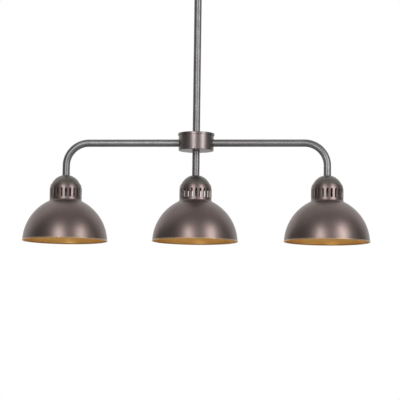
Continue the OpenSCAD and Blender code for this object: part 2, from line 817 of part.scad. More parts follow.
module cap_profile() {
    difference() {
        translate([0, crown_z]) ring_sector(cap_r - sheet_t, cap_r, 0, 90);
        translate([-over, crown_z - over]) square([cap_r + over * 2, crown_drop + seat_gap + over]);
        translate([-over, cap_top_z]) square([cap_r + over * 2, cap_r]);
        translate([-over, crown_z]) square([thread_hole_r + over, cap_r * 2]);
    }
    translate([thread_hole_r, cap_top_z - sheet_t]) square([cap_flat_r - thread_hole_r, sheet_t]);
}

module cap() {
    rotate_extrude() cap_profile();
}

// Sheet profile of a shade: flange, shoulder, gallery, neck, dome and bead
module shade_profile() {
    shoulder_r = sqrt(gallery_r * gallery_r - crown_drop * crown_drop);
    arc_top = neck_angle + arc_lap;
    arc_bottom = asin((rim_z + bead_d / 2 - dome_z) / dome_arc_r);
    translate([mouth_r, seam_z - sheet_t]) square([shoulder_r - mouth_r - sheet_t / 2, sheet_t]);
    difference() {
        translate([0, crown_z]) ring_sector(gallery_r - sheet_t, gallery_r, 0, 45);
        translate([0, seam_z]) square([gallery_r * 2, gallery_r]);
    }
    translate([gallery_r - sheet_t, neck_z - lap]) square([sheet_t, crown_z - neck_z + lap * 2]);
    translate([neck_x, neck_z]) ring_sector(neck_r, neck_r + sheet_t, 180, 180 + neck_angle);
    translate([-dome_offset, dome_z]) ring_sector(dome_arc_r - sheet_t, dome_arc_r, arc_bottom, arc_top);
    translate([dome_r + bead_proud - bead_d / 2, rim_z + bead_d / 2]) circle(d = bead_d);
}

module shade(turn) {
    difference() {
        rotate_extrude() shade_profile();
        for (slot = [0 : vent_count - 1])
            rotate([0, 0, turn + slot * 360 / vent_count])
                translate([0, -gallery_r + sheet_t + over, seam_z - vent_drop - vent_h / 2])
                    rotate([90, 0, 0]) linear_extrude(sheet_t + over * 2) stadium(vent_w, vent_h);
    }
}

module clamp_plate() {
    plate_r = sqrt(pow(gallery_r - sheet_t, 2) - pow(clamp_z - crown_z, 2)) - clamp_gap;
    translate([0, 0, clamp_z - clamp_t + seat_gap]) tube(plate_r, thread_hole_r, clamp_t - seat_gap * 2);
}

module holder_cover_profile() {
    rise = cover_h - neck_tube_h;
    neck_out_r = holder_neck_d / 2;
    side_top = cover_z + rise * cover_side_share;
    shoulder_top = cover_z + rise * cover_shoulder_share;
    inner_r = holder_r - holder_wall;
    inner_top = cover_z + rise - holder_wall;
    difference() {
        union() {
            translate([0, holder_top_z - neck_tube_h]) square([neck_out_r, neck_tube_h]);
            polygon([[0, cover_z], [holder_r, cover_z], [holder_r, side_top],
                     [holder_r - cover_shoulder, shoulder_top], [neck_out_r, cover_z + rise],
                     [0, cover_z + rise]]);
        }
        polygon([[-over, cover_z - over], [inner_r, cover_z - over], [inner_r, side_top - holder_wall / 3],
                 [neck_out_r, inner_top], [-over, inner_top]]);
        translate([-over, cover_z]) square([thread_r + seat_gap + over, cover_h + over]);
    }
}

module holder_cover() {
    rotate_extrude() holder_cover_profile();
}

// Body shell with a ledge inside that carries the insulating core
module holder_body() {
    translate([0, 0, holder_mouth_z]) tube(holder_r, holder_r - holder_wall, holder_h - seat_gap);
    translate([0, 0, core_z - ledge_t])
        tube(holder_r - holder_wall + eps, lamp_bore / 2 + shell_t + seat_gap, ledge_t - seat_gap);
}

module holder_core() {
    difference() {
        translate([0, 0, core_z]) cylinder(r = holder_r - holder_wall - seat_gap, h = core_t);
        translate([0, 0, core_z - over]) cylinder(r = recess_r, h = recess_h + over);
    }
}

module screw_shell() {
    translate([0, 0, holder_mouth_z])
        tube(lamp_bore / 2 + shell_t, lamp_bore / 2, core_z - holder_mouth_z - seat_gap);
}

// Centre contact: a strip in the core's recess with the stud that meets the lamp
module contact() {
    strip_z = core_z + recess_h - contact_t - seat_gap;
    translate([-contact_w / 2, -contact_len / 2, strip_z]) cube([contact_w, contact_len, contact_t]);
    translate([0, 0, strip_z - contact_h]) cylinder(d = contact_d, h = contact_h + contact_t / 2);
}

module at_head(index) {
    translate([HEADS[index], 0, 0]) children();
}

ceiling_plate();
canopy();
canopy_screws();
plate_screws();
terminal_block();
terminal_clamps();
canopy_lead();
swivel_bush();
bush_washer();
bush_nut();
swivel_yoke();
yoke_washer();
yoke_nut();
stem_eye();
pivot_screws();
pivot_washers();
stem_tube();
stem_cable();
hub_body();
hub_lid();
hub_rod();
tube_bushes();
arm_nipples();
arm_washers();
arm_nuts();
hub_connectors();
left_arm();
right_arm();
centre_drop();
left_leads();
centre_leads();
right_leads();
head_nipples();
head_washers();
head_nuts();
color(BRONZE) at_head(0) cap();  // left_cap
color(BRONZE) at_head(1) cap();  // centre_cap
color(BRONZE) at_head(2) cap();  // right_cap
color(BRONZE) at_head(0) shade(left_turn);  // left_shade
color(BRONZE) at_head(1) shade(centre_turn);  // centre_shade
color(BRONZE) at_head(2) shade(right_turn);  // right_shade
color(STEEL) at_head(0) clamp_plate();  // left_clamp_plate
color(STEEL) at_head(1) clamp_plate();  // centre_clamp_plate
color(STEEL) at_head(2) clamp_plate();  // right_clamp_plate
color(BLACK) at_head(0) holder_cover();  // left_holder_cover
color(BLACK) at_head(1) holder_cover();  // centre_holder_cover
color(BLACK) at_head(2) holder_cover();  // right_holder_cover
color(BLACK) at_head(0) holder_body();  // left_holder_body
color(BLACK) at_head(1) holder_body();  // centre_holder_body
color(BLACK) at_head(2) holder_body();  // right_holder_body
color(PORCELAIN) at_head(0) holder_core();  // left_holder_core
color(PORCELAIN) at_head(1) holder_core();  // centre_holder_core
color(PORCELAIN) at_head(2) holder_core();  // right_holder_core
color(BRASS) at_head(0) screw_shell();  // left_screw_shell
color(BRASS) at_head(1) screw_shell();  // centre_screw_shell
color(BRASS) at_head(2) screw_shell();  // right_screw_shell
color(BRASS) at_head(0) contact();  // left_contact
color(BRASS) at_head(1) contact();  // centre_contact
color(BRASS) at_head(2) contact();  // right_contact
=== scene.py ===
"""Three-light bar pendant in dark bronze: its finishes, pieces, studio and camera.

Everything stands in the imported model's frame: metres, the ceiling at z = 0, the arms along X
and the front towards -Y.
"""

import json
import logging
import math
from collections.abc import Callable, Sequence
from dataclasses import dataclass, replace
from enum import Enum

import bmesh
import bpy
from mathutils import Matrix, Quaternion, Vector

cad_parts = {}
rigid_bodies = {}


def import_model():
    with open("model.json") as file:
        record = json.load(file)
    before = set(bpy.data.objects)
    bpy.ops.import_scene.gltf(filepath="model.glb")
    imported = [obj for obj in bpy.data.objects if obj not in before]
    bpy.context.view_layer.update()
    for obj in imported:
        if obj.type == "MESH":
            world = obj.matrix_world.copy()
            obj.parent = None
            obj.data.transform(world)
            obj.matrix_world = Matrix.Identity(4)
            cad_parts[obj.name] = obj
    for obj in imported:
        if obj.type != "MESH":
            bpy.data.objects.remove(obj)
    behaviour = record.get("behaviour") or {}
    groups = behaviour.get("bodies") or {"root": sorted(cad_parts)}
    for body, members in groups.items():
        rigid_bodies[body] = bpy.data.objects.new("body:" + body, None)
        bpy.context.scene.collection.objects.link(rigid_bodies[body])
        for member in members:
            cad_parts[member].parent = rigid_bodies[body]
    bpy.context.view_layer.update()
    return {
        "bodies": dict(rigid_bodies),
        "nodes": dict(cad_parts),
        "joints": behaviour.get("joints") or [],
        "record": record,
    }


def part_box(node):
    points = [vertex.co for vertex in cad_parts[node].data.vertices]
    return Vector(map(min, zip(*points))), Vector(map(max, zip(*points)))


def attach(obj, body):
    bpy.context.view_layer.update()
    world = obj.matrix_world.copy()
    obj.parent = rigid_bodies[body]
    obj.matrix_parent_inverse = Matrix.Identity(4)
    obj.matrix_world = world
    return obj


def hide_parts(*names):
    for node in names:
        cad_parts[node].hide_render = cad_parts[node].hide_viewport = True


MM = 0.001
IMAGE_PX = 400
SENSOR_MM = 36.0
# Angle in degrees from which an edge is sharp
CREASE = 32.0
# Holes that clear the hub's rod and the heads' threaded pieces, as radii
ROD_HOLE = 5.15 * MM
THREAD_HOLE = 5.05 * MM
# Gap left between a screw's head and what it presses on
HEAD_GAP = 0.05 * MM
# A nut's chamfer round its hole, and the depth of its turned corners by what they stand out
NUT_EDGE = 0.35 * MM
NUT_SLOPE = 0.55
# Steps round a wide, a middling and a narrow turned piece
WIDE = 256
MIDDLING = 144
NARROW = 96
Point = tuple[float, float]
Band = tuple[float, float]
Colour = tuple[float, float, float]
Shape = Callable[[float, float, float], float]

log = logging.getLogger("pendant")


class Wire:
    """A node's output with arithmetic: each operator adds the Math node that works it out."""

    def __init__(self, shader: "Shader", socket: bpy.types.NodeSocket) -> None:
        """Keeps an output socket and the shader whose tree takes new nodes."""
        self.shader = shader
        self.socket = socket

    def _math(self, operation: str, first: "Wire | float", second: "Wire | float") -> "Wire":
        """Adds one Math node and returns its output."""
        return self.shader.node("ShaderNodeMath", {"operation": operation}, {0: first, 1: second})

    def __add__(self, other: "Wire | float") -> "Wire":
        """Sum of this wire and a wire or number."""
        return self._math("ADD", self, other)

    __radd__ = __add__

    def __sub__(self, other: "Wire | float") -> "Wire":
        """This wire less a wire or number."""
        return self._math("SUBTRACT", self, other)

    def __rsub__(self, other: float) -> "Wire":
        """A number less this wire."""
        return self._math("SUBTRACT", other, self)

    def __mul__(self, other: "Wire | float") -> "Wire":
        """Product of this wire and a wire or number."""
        return self._math("MULTIPLY", self, other)

    __rmul__ = __mul__

    def __pow__(self, other: float) -> "Wire":
        """This wire raised to a power."""
        return self._math("POWER", self, other)

    def at_least(self, least: float) -> "Wire":
        """The larger of this wire and a number."""
        return self._math("MAXIMUM", self, least)

    def between(self, low: float, high: float) -> "Wire":
        """Smooth step of this wire, from 0 at low to 1 at high."""
        settings = {"interpolation_type": "SMOOTHSTEP"}
        return self.shader.node("ShaderNodeMapRange", settings, {0: self, 1: low, 2: high, 3: 0.0, 4: 1.0})


class Shader:
    """The node tree of one material, or of the world, while it is being wired."""

    def __init__(self, tree: bpy.types.NodeTree) -> None:
        """Empties a node tree and keeps it."""
        self.tree = tree
        tree.nodes.clear()

    def node(
        self,
        kind: str,
        settings: dict[str, object] | None = None,
        inputs: dict[str | int, object] | None = None,
        output: str | int = 0,
    ) -> Wire:
        """Adds a node, sets it and feeds its inputs.

        Args:
            kind: The node's type.
            settings: The node's own settings, set first.
            inputs: A wire or value for each input, by name or number.
            output: The output to return, by name or number.

        Returns:
            The chosen output.
        """
        made = self.tree.nodes.new(kind)
        for name, value in (settings or {}).items():
            setattr(made, name, value)
        for key, value in (inputs or {}).items():
            if isinstance(value, Wire):
                self.tree.links.new(value.socket, made.inputs[key])
            else:
                made.inputs[key].default_value = value
        return Wire(self, made.outputs[output] if made.outputs else None)

    def mixed(self, share: Wire | float, first: Wire | Colour, second: Wire | Colour) -> Wire:
        """Blend of two colours.

        Args:
            share: Share of the second colour.
            first: The colour at 0.
            second: The colour at 1.

        Returns:
            The blended colour.
        """
        ends = [value if isinstance(value, Wire) else (*value, 1.0) for value in (first, second)]
        settings = {"data_type": "RGBA"}
        return self.node("ShaderNodeMix", settings, {0: share, 6: ends[0], 7: ends[1]}, 2)

    def parts(self, vector: Wire) -> list[Wire]:
        """The x, y and z of a vector."""
        return [self.node("ShaderNodeSeparateXYZ", None, {0: vector}, axis) for axis in range(3)]

    def noise(self, vector: Wire, size: float, detail: float = 3.0, roughness: float = 0.5) -> Wire:
        """Soft noise from 0 to 1, whose largest features have this size in metres."""
        inputs = {"Vector": vector, "Scale": 1.0 / size, "Detail": detail, "Roughness": roughness}
        return self.node("ShaderNodeTexNoise", None, inputs)


class Grain(Enum):
    """How a surface was worked, which sets the way its fine lines run."""

    SPUN = "rings round the piece's own upright axis"
    DRAWN = "lines along the piece's upright axis"
    BENT = "lines along a tube that leaves the stem sideways and is bent down"
    PLAIN = "no direction"


@dataclass(frozen=True)
class Finish:
    """A metal, lacquer or plastic as it is on the lamp.

    Attributes:
        name: The material's name.
        slot: The record's slot that it belongs to.
        base: Main colour.
        tint: Colour of the mottling.
        worn: Colour of rubbed edges.
        metallic: 1 for metal, 0 for plastic and glaze.
        roughness: Mean roughness.
        swing: Change of roughness between the mottling's high and low.
        mottle: Size of the mottling.
        line_pitch: Width of the fine lines.
        line_depth: Depth of the fine lines.
        pit_depth: Depth of the fine pitting.
        grain: The way that the lines run.
        wear: Strength of the rubbed edges.
        coat: Strength of the clear lacquer over it.
        bend_at: For a bent tube, distance of the bend's centre from the stem, and its height.
        coarse: Size of the coarse mottling, as a multiple of the fine one's.
        fine_share: Share of the fine mottling in the tint.
        tint_band: Mottling at which the tint starts, and at which it is full.
        rub_band: Pointiness at which an edge starts to be rubbed, and at which it is bare.
        rub_patches: Mottling between which the rubbing comes and goes.
        pit_size: Size of the fine pitting.
        stretch: Shrinking of the fine lines' noise along their length.
    """

    name: str
    slot: str
    base: Colour
    tint: Colour
    worn: Colour
    metallic: float = 1.0
    roughness: float = 0.3
    swing: float = 0.06
    mottle: float = 30 * MM
    line_pitch: float = 0.35 * MM
    line_depth: float = 0.0005 * MM
    pit_depth: float = 0.0015 * MM
    grain: Grain = Grain.PLAIN
    wear: float = 0.6
    coat: float = 0.0
    bend_at: Point = (0.0, 0.0)
    coarse: float = 3.1
    fine_share: float = 0.6
    tint_band: Band = (0.38, 0.62)
    rub_band: Band = (0.53, 0.6)
    rub_patches: Band = (0.3, 0.7)
    pit_size: float = 0.5 * MM
    stretch: float = 0.01

    def _lines_at(self, shader: Shader, place: Wire) -> Wire:
        """Coordinates for the fine lines, stretched along the way that they run.

        Args:
            shader: The shader that takes the nodes.
            place: The object's own coordinates.

        Returns:
            The stretched coordinates.
        """
        if self.grain is Grain.PLAIN:
            return place
        x, y, z = shader.parts(place)
        if self.grain is Grain.SPUN:
            at = {0: (x * x + y * y) ** 0.5, 1: (x + y) * self.stretch, 2: z}
        elif self.grain is Grain.BENT:
            past = ((x * x) ** 0.5 - self.bend_at[0]).at_least(0.0)
            over = (z - self.bend_at[1]).at_least(0.0)
            at = {0: (past * past + over * over) ** 0.5, 1: y}
        else:
            at = {0: x, 1: y, 2: z * self.stretch}
        return shader.node("ShaderNodeCombineXYZ", None, at)

    def material(self) -> bpy.types.Material:
        """The Blender material of this finish, made once.

        Returns:
            The material.
        """
        known = bpy.data.materials.get(self.name)
        if known:
            return known
        made = bpy.data.materials.new(self.name)
        made.use_nodes = True
        shader = Shader(made.node_tree)
        place = shader.node("ShaderNodeTexCoord", output="Object")
        mottle = shader.noise(place, self.mottle, detail=5.0, roughness=0.6)
        cloud = shader.noise(place, self.mottle * self.coarse, detail=2.0)
        pits = shader.noise(place, self.pit_size, roughness=0.7)
        lines = shader.noise(self._lines_at(shader, place), self.line_pitch, detail=2.0, roughness=0.6)
        point = shader.node("ShaderNodeNewGeometry", output="Pointiness")
        edge = point.between(*self.rub_band) * mottle.between(*self.rub_patches) * self.wear
        tinted = (mottle * self.fine_share + cloud * (1.0 - self.fine_share)).between(*self.tint_band)
        colour = shader.mixed(tinted, self.base, self.tint)
        colour = shader.mixed(edge, colour, self.worn)
        rough = self.roughness + (mottle - 0.5) * self.swing + (lines - 0.5) * self.swing * 0.5
        height = lines * (self.line_depth / MM) + pits * (self.pit_depth / MM)
        bumped = shader.node("ShaderNodeBump", None, {"Strength": 1.0, "Distance": MM, "Height": height})
        inputs = {"Base Color": colour, "Metallic": self.metallic, "Roughness": rough, "Normal": bumped}
        inputs |= {"Coat Weight": self.coat, "Coat Roughness": self.roughness}
        body = shader.node("ShaderNodeBsdfPrincipled", None, inputs)
        shader.node("ShaderNodeOutputMaterial", None, {"Surface": body})
        return made


TUBE_BRONZE = Finish(
    "tube_bronze", "bronze_tube", (0.200, 0.198, 0.198), (0.168, 0.165, 0.163), (0.30, 0.22, 0.17),
    metallic=0.8, roughness=0.42, grain=Grain.DRAWN, wear=0.0,
)
HUB_BRONZE = Finish(
    "hub_bronze", "bronze_hub", (0.195, 0.166, 0.163), (0.166, 0.149, 0.138), (0.32, 0.23, 0.18),
    metallic=0.92, roughness=0.38, grain=Grain.SPUN,
)
SHADE_BRONZE = Finish(
    "spun_shade_bronze", "shade_bronze", (0.199, 0.150, 0.140), (0.172, 0.137, 0.125), (0.34, 0.25, 0.20),
    metallic=0.92, roughness=0.41, grain=Grain.SPUN, coat=0.25,
)
CAP_BRONZE = Finish(
    "cap_bronze", "bronze", (0.203, 0.172, 0.159), (0.166, 0.156, 0.135), (0.34, 0.25, 0.20),
    metallic=0.92, roughness=0.45, grain=Grain.SPUN, coat=0.25,
)
CANOPY_BRONZE = Finish(
    "canopy_bronze", "bronze", (0.190, 0.146, 0.137), (0.156, 0.130, 0.115), (0.32, 0.23, 0.18),
    metallic=0.92, roughness=0.42, grain=Grain.SPUN,
)
FITTING_BRONZE = Finish(
    "fitting_bronze", "bronze", (0.190, 0.154, 0.142), (0.151, 0.130, 0.115), (0.32, 0.23, 0.18),
    metallic=0.92, roughness=0.40, mottle=12 * MM,
)
GOLD_LACQUER = Finish(
    "gold_lacquer", "shade_gold", (0.92, 0.54, 0.160), (0.84, 0.47, 0.120), (0.92, 0.62, 0.26),
    roughness=0.38, grain=Grain.SPUN, coat=0.5,
)
# Paler, greyer gold for the rolled rim bead: partly a worn rim, partly a painted sheen of the lights caught
# along the bead.
RIM_GOLD_AND_SHEEN = Finish(
    "rim_gold_and_painted_sheen", "shade_gold", (0.54, 0.39, 0.24), (0.46, 0.32, 0.19), (0.70, 0.54, 0.36),
    roughness=0.42, grain=Grain.SPUN, coat=0.5,
)
ZINC_STEEL = Finish(
    "plated_steel", "zinc_steel", (0.56, 0.56, 0.57), (0.46, 0.47, 0.49), (0.70, 0.70, 0.70),
    roughness=0.36, mottle=8 * MM,
)
BLACK_ZINC = Finish(
    "black_zinc", "zinc_steel", (0.050, 0.050, 0.052), (0.036, 0.036, 0.038), (0.20, 0.20, 0.20),
    roughness=0.45, mottle=8 * MM,
)
BRASS = Finish(
    "brass_bare", "brass", (0.68, 0.49, 0.21), (0.58, 0.39, 0.15), (0.80, 0.62, 0.32),
    roughness=0.3, mottle=8 * MM,
)
PHENOLIC = Finish(
    "moulded_phenolic", "black_phenolic", (0.020, 0.019, 0.018), (0.030, 0.027, 0.025), (0.06, 0.055, 0.05),
    metallic=0.0, roughness=0.28, mottle=6 * MM, wear=0.4,
)
PORCELAIN = Finish(
    "glazed_porcelain", "porcelain", (0.82, 0.81, 0.77), (0.76, 0.74, 0.69), (0.85, 0.84, 0.80),
    metallic=0.0, roughness=0.22, mottle=7 * MM, wear=0.2,
)
WHITE_PLASTIC = Finish(
    "moulded_white", "white_plastic", (0.80, 0.80, 0.77), (0.74, 0.74, 0.70), (0.84, 0.84, 0.82),
    metallic=0.0, roughness=0.42, mottle=5 * MM, wear=0.2,
)
LEAD_SHEATH = Finish(
    "cable_sheath", "lead_sheath", (0.030, 0.030, 0.031), (0.042, 0.041, 0.041), (0.07, 0.07, 0.07),
    metallic=0.0, roughness=0.55, mottle=4 * MM, wear=0.2,
)


def turned(radius: float, angle: float, z: float) -> Vector:
    """Point at a radius and height, turned from the front by an angle in degrees."""
    radians = math.radians(angle)
    return Vector((radius * math.sin(radians), -radius * math.cos(radians), z))


def arc(centre: Point, radius: float, start: float, stop: float, steps: int) -> list[Point]:
    """Points of a round stretch, where an angle of 0 points away from the axis and 90 up."""
    angles = [math.radians(start + (stop - start) * step / steps) for step in range(steps + 1)]
    return [(centre[0] + radius * math.cos(a), centre[1] + radius * math.sin(a)) for a in angles]


def along(start: float, stop: float, steps: int) -> list[float]:
    """Evenly spaced numbers from start to stop, both among them."""
    return [start + (stop - start) * step / steps for step in range(steps + 1)]


class Solid:
    """The points and faces of one piece while it is being built."""

    def __init__(self) -> None:
        """Starts with nothing in it."""
        self.points: list[Vector] = []
        self.faces: list[tuple[int, ...]] = []

    def grid(self, rows: Sequence[Sequence[Vector]], close_rows: bool, close_columns: bool) -> None:
        """Adds a sheet of four-sided faces.

        Args:
            rows: Rows of points, all as long.
            close_rows: Whether the last row joins the first.
            close_columns: Whether each row's last point joins its first.
        """
        start = len(self.points)
        width = len(rows[0])
        for row in rows:
            self.points.extend(row)
        for i in range(len(rows) if close_rows else len(rows) - 1):
            for j in range(width if close_columns else width - 1):
                here = start + i * width
                there = start + (i + 1) % len(rows) * width
                after = (j + 1) % width
                self.faces.append((here + j, here + after, there + after, there + j))

    def spin(
        self, profile: Sequence[Point], segments: int, closed: bool = True,
        shape: Shape | None = None, offset: float = 0.0,
    ) -> None:
        """Spins a profile round the Z axis.

        Args:
            profile: Points as radius and height.
            segments: Number of steps round the axis.
            closed: Whether the profile's last point joins its first.
            shape: Gives the radius from the profile's radius, height and angle.
            offset: Angle of the first step.
        """
        angles = [offset + 360.0 * step / segments for step in range(segments)]
        rows = [
            [turned(shape(radius, z, angle) if shape else radius, angle, z) for angle in angles]
            for radius, z in profile
        ]
        self.grid(rows, closed, True)

    def cap(self, ring: Sequence[Vector]) -> None:
        """Closes a ring of points with one face.

        Args:
            ring: The points, in order.
        """
        start = len(self.points)
        self.points.extend(ring)
        self.faces.append(tuple(range(start, start + len(ring))))

    def block(self, low: Sequence[float], high: Sequence[float]) -> None:
        """Adds a block between two corners.

        Args:
            low: The lowest corner.
            high: The highest corner.
        """
        plan = ((low[0], low[1]), (high[0], low[1]), (high[0], high[1]), (low[0], high[1]))
        corners = [[Vector((x, y, z)) for x, y in plan] for z in (low[2], high[2])]
        self.grid(corners, False, True)
        self.cap(corners[0])
        self.cap(corners[1])

    def moved(self, matrix: Matrix) -> "Solid":
        """Copies this solid to another place.

        Args:
            matrix: What moves and turns the copy.

        Returns:
            The copy.
        """
        copy = Solid()
        copy.points = [matrix @ point for point in self.points]
        copy.faces = list(self.faces)
        return copy

    def join(self, other: "Solid") -> None:
        """Takes another solid's points and faces in.

        Args:
            other: The other solid.
        """
        start = len(self.points)
        self.points.extend(other.points)
        self.faces.extend(tuple(start + index for index in face) for face in other.faces)


def spun(
    profile: Sequence[Point], segments: int, closed: bool = True, shape: Shape | None = None,
) -> Solid:
    """Spins one profile round the Z axis.

    Args:
        profile: Points as radius and height.
        segments: Number of steps round the axis.
        closed: Whether the profile's last point joins its first.
        shape: Gives the radius from the profile's radius, height and angle.

    Returns:
        The solid.
    """
    made = Solid()
    made.spin(profile, segments, closed, shape)
    return made


def sideways_pair(solid: Solid, at: Vector) -> Solid:
    """Turns one copy of a solid to -X and one to +X, and joins them.

    Args:
        solid: The solid, along Z.
        at: Where the copies' origin goes.

    Returns:
        The pair.
    """
    pair = Solid()
    for side in (-1, 1):
        turn = Matrix.Rotation(math.radians(90 * side), 4, "Y")
        pair.join(solid.moved(Matrix.Translation(at) @ turn))
    return pair


def as_object(name: str, solid: Solid, at: Vector) -> bpy.types.Object:
    """Makes a Blender object from a solid.

    Args:
        name: The object's name.
        solid: Its points and faces, from its own origin.
        at: Where the origin goes.

    Returns:
        The object, linked to the scene.
    """
    mesh = bpy.data.meshes.new(name)
    mesh.from_pydata([tuple(point) for point in solid.points], [], solid.faces)
    shaped = bmesh.new()
    shaped.from_mesh(mesh)
    bmesh.ops.remove_doubles(shaped, verts=shaped.verts, dist=0.002 * MM)
    bmesh.ops.dissolve_degenerate(shaped, dist=0.001 * MM, edges=shaped.edges)
    bmesh.ops.recalc_face_normals(shaped, faces=shaped.faces)
    shaped.to_mesh(mesh)
    shaped.free()
    mesh.shade_smooth()
    mesh.set_sharp_from_angle(angle=math.radians(CREASE))
    made = bpy.data.objects.new(name, mesh)
    bpy.context.scene.collection.objects.link(made)
    made.location = at
    return made


def add_piece(
    name: str, solid: Solid, finish: Finish, body: str, replaced: Sequence[str],
    at: Vector = Vector((0, 0, 0)),
) -> bpy.types.Object:
    """Makes a piece, dresses it and lets it ride on a body.

    Args:
        name: The piece's name.
        solid: Its points and faces, from its own origin.
        finish: Its finish.
        body: The body that it moves with.
        replaced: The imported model's nodes that it stands for.
        at: Where its origin goes.

    Returns:
        The piece.
    """
    made = as_object(name, solid, at)
    made.data.materials.append(finish.material())
    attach(made, body)
    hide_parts(*replaced)
    log.info("%s: %d faces, %s, rides on %s", name, len(made.data.polygons), finish.name, body)
    return made


@dataclass
class Group:
    """Pieces that belong together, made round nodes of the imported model.

    Attributes:
    """

    frame: dict

    def dress(self, finish: Finish, *names: str) -> None:
        """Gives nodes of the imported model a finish.

        Args:
            finish: The finish.
            names: The nodes' names.
        """
        for name in names:
            node = self.frame["nodes"][name]
            node.data.materials.clear()
            node.data.materials.append(finish.material())
            log.info("%s: packed node, %s", name, finish.name)


def cut_slot(piece: bpy.types.Object, low: Sequence[float], high: Sequence[float]) -> None:
    """Cuts a block out of a piece.

    Args:
        piece: The piece.
        low: The block's lowest corner, in the frame.
        high: The block's highest corner.
    """
    block = Solid()
    block.block(low, high)
    cutter = as_object(piece.name + "_cutter", block, Vector((0, 0, 0)))
    change = piece.modifiers.new("slot", "BOOLEAN")
    change.operation = "DIFFERENCE"
    change.solver = "EXACT"
    change.object = cutter
    bpy.context.view_layer.update()
    shaped = bpy.data.meshes.new_from_object(piece.evaluated_get(bpy.context.evaluated_depsgraph_get()))
    piece.modifiers.clear()
    piece.data = shaped
    shaped.set_sharp_from_angle(angle=math.radians(CREASE))
    bpy.data.objects.remove(cutter)


def hexagon(flats: float) -> Shape:
    """Trims a spun piece to a hexagon.

    Args:
        flats: Width across its flats.

    Returns:
        What gives the radius.
    """

    def shape(radius: float, _z: float, angle: float) -> float:
        """Radius inside the hexagon."""
        to_flat = (angle % 60.0) - 30.0
        return min(radius, flats / 2 / math.cos(math.radians(to_flat)))

    return shape


def hex_nut(flats: float, hole: float, low: float, high: float) -> Solid:
    """Hexagonal nut with turned corners.

    Args:
        flats: Width across the flats.
        hole: Radius of the hole.
        low: Height of its lower face.
        high: Height of its upper face.

    Returns:
        The nut, round the Z axis.
    """
    corner = flats / 2 / math.cos(math.radians(30))
    turn = (corner - flats / 2) * NUT_SLOPE
    flat = flats / 2 - NUT_EDGE
    mouth = hole + NUT_EDGE
    profile = [(mouth, low), (flat, low), (corner, low + turn), (corner, high - turn), (flat, high)]
    profile += [(mouth, high), (hole, high - NUT_EDGE), (hole, low + NUT_EDGE)]
    return spun(profile, MIDDLING, shape=hexagon(flats))


def middle_of(node: str) -> Vector:
    """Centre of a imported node's box."""
    low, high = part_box(node)
    return (low + high) / 2


@dataclass
class Tubework:
    """The stem, the two bent arms and the centre drop.

    Attributes:
        radius: Outside radius of a tube.
        wall: Wall of a tube.
        bend: Radius of an arm's bend at the tube's centre line.
        edge: Chamfer on a tube's ends.
        sides: Number of faces round a tube.
    """

    radius: float = 8.6 * MM
    wall: float = 1.5 * MM
    bend: float = 53 * MM
    edge: float = 0.3 * MM
    sides: int = 72

    def straight(self, low: float, high: float) -> Solid:
        """Makes an upright tube.

        Args:
            low: Height of its lower end.
            high: Height of its upper end.

        Returns:
            The tube.
        """
        inner = self.radius - self.wall
        profile = [
            (inner, low), (self.radius - self.edge, low), (self.radius, low + self.edge),
            (self.radius, high - self.edge), (self.radius - self.edge, high), (inner, high),
        ]
        return spun(profile, self.sides)

    def _ring(self, place: Vector, outward: Vector, radius: float) -> list[Vector]:
        """Points round a tube's section at one place of its route."""
        angles = [math.tau * step / self.sides for step in range(self.sides)]
        return [place + (outward * math.cos(a) + Vector((0, 1, 0)) * math.sin(a)) * radius for a in angles]

    def _skin(
        self, radius: float, hub_radius: float, axis_x: float, axis_z: float, foot: float,
    ) -> list[list[Vector]]:
        """Rings along an arm from the hub to its foot, the first one fitted to the drum's wall.

        Args:
            radius: Radius of the rings.
            hub_radius: Outside radius of the drum.
            axis_x: Distance from the stem's axis to the head's axis.
            axis_z: Height of the arm's axis.
            foot: Height of the arm's lower end.

        Returns:
            The rings.
        """
        start = self._ring(Vector((hub_radius, 0, axis_z)), Vector((0, 0, 1)), radius)
        fitted = [Vector((math.sqrt(hub_radius ** 2 - point.y ** 2), point.y, point.z)) for point in start]
        rings = [fitted]
        centre = Vector((axis_x - self.bend, 0, axis_z - self.bend))
        for angle in along(90.0, 0.0, 36):
            outward = Vector((math.cos(math.radians(angle)), 0, math.sin(math.radians(angle))))
            rings.append(self._ring(centre + outward * self.bend, outward, radius))
        rings.append(self._ring(Vector((axis_x, 0, foot)), Vector((1, 0, 0)), radius))
        return rings

    def arm(self, hub_radius: float, axis_x: float, axis_z: float, foot: float) -> Solid:
        """Tube from the drum's wall along +X, round the bend and down.

        Args:
            hub_radius: Outside radius of the drum.
            axis_x: Distance from the stem's axis to the head's axis.
            axis_z: Height of the arm's axis.
            foot: Height of its lower end.

        Returns:
            The arm.
        """
        outer = self._skin(self.radius, hub_radius, axis_x, axis_z, foot)
        inner = self._skin(self.radius - self.wall, hub_radius, axis_x, axis_z, foot)
        made = Solid()
        made.grid(outer + inner[::-1], True, True)
        return made

    def build(self) -> None:
        """Makes and dresses the tubes."""
        for name in ("stem_tube", "centre_drop"):
            low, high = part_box(name)
            add_piece(name + "_bronze", self.straight(low.z, high.z), TUBE_BRONZE, "lamp", [name])
        hub_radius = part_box("hub_body")[1].x
        for name, side in (("right_arm", 1), ("left_arm", -1)):
            low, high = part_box(name)
            reach = max(abs(low.x), abs(high.x)) - self.radius
            axis_z = high.z - self.radius
            finish = replace(
                TUBE_BRONZE, name="bent_tube_bronze", grain=Grain.BENT,
                bend_at=(reach - self.bend, axis_z - self.bend),
            )
            arm = self.arm(hub_radius, reach, axis_z, low.z)
            if side < 0:
                arm = arm.moved(Matrix.Scale(-1, 4, (1, 0, 0)))
            add_piece(name + "_bronze", arm, finish, "lamp", [name])


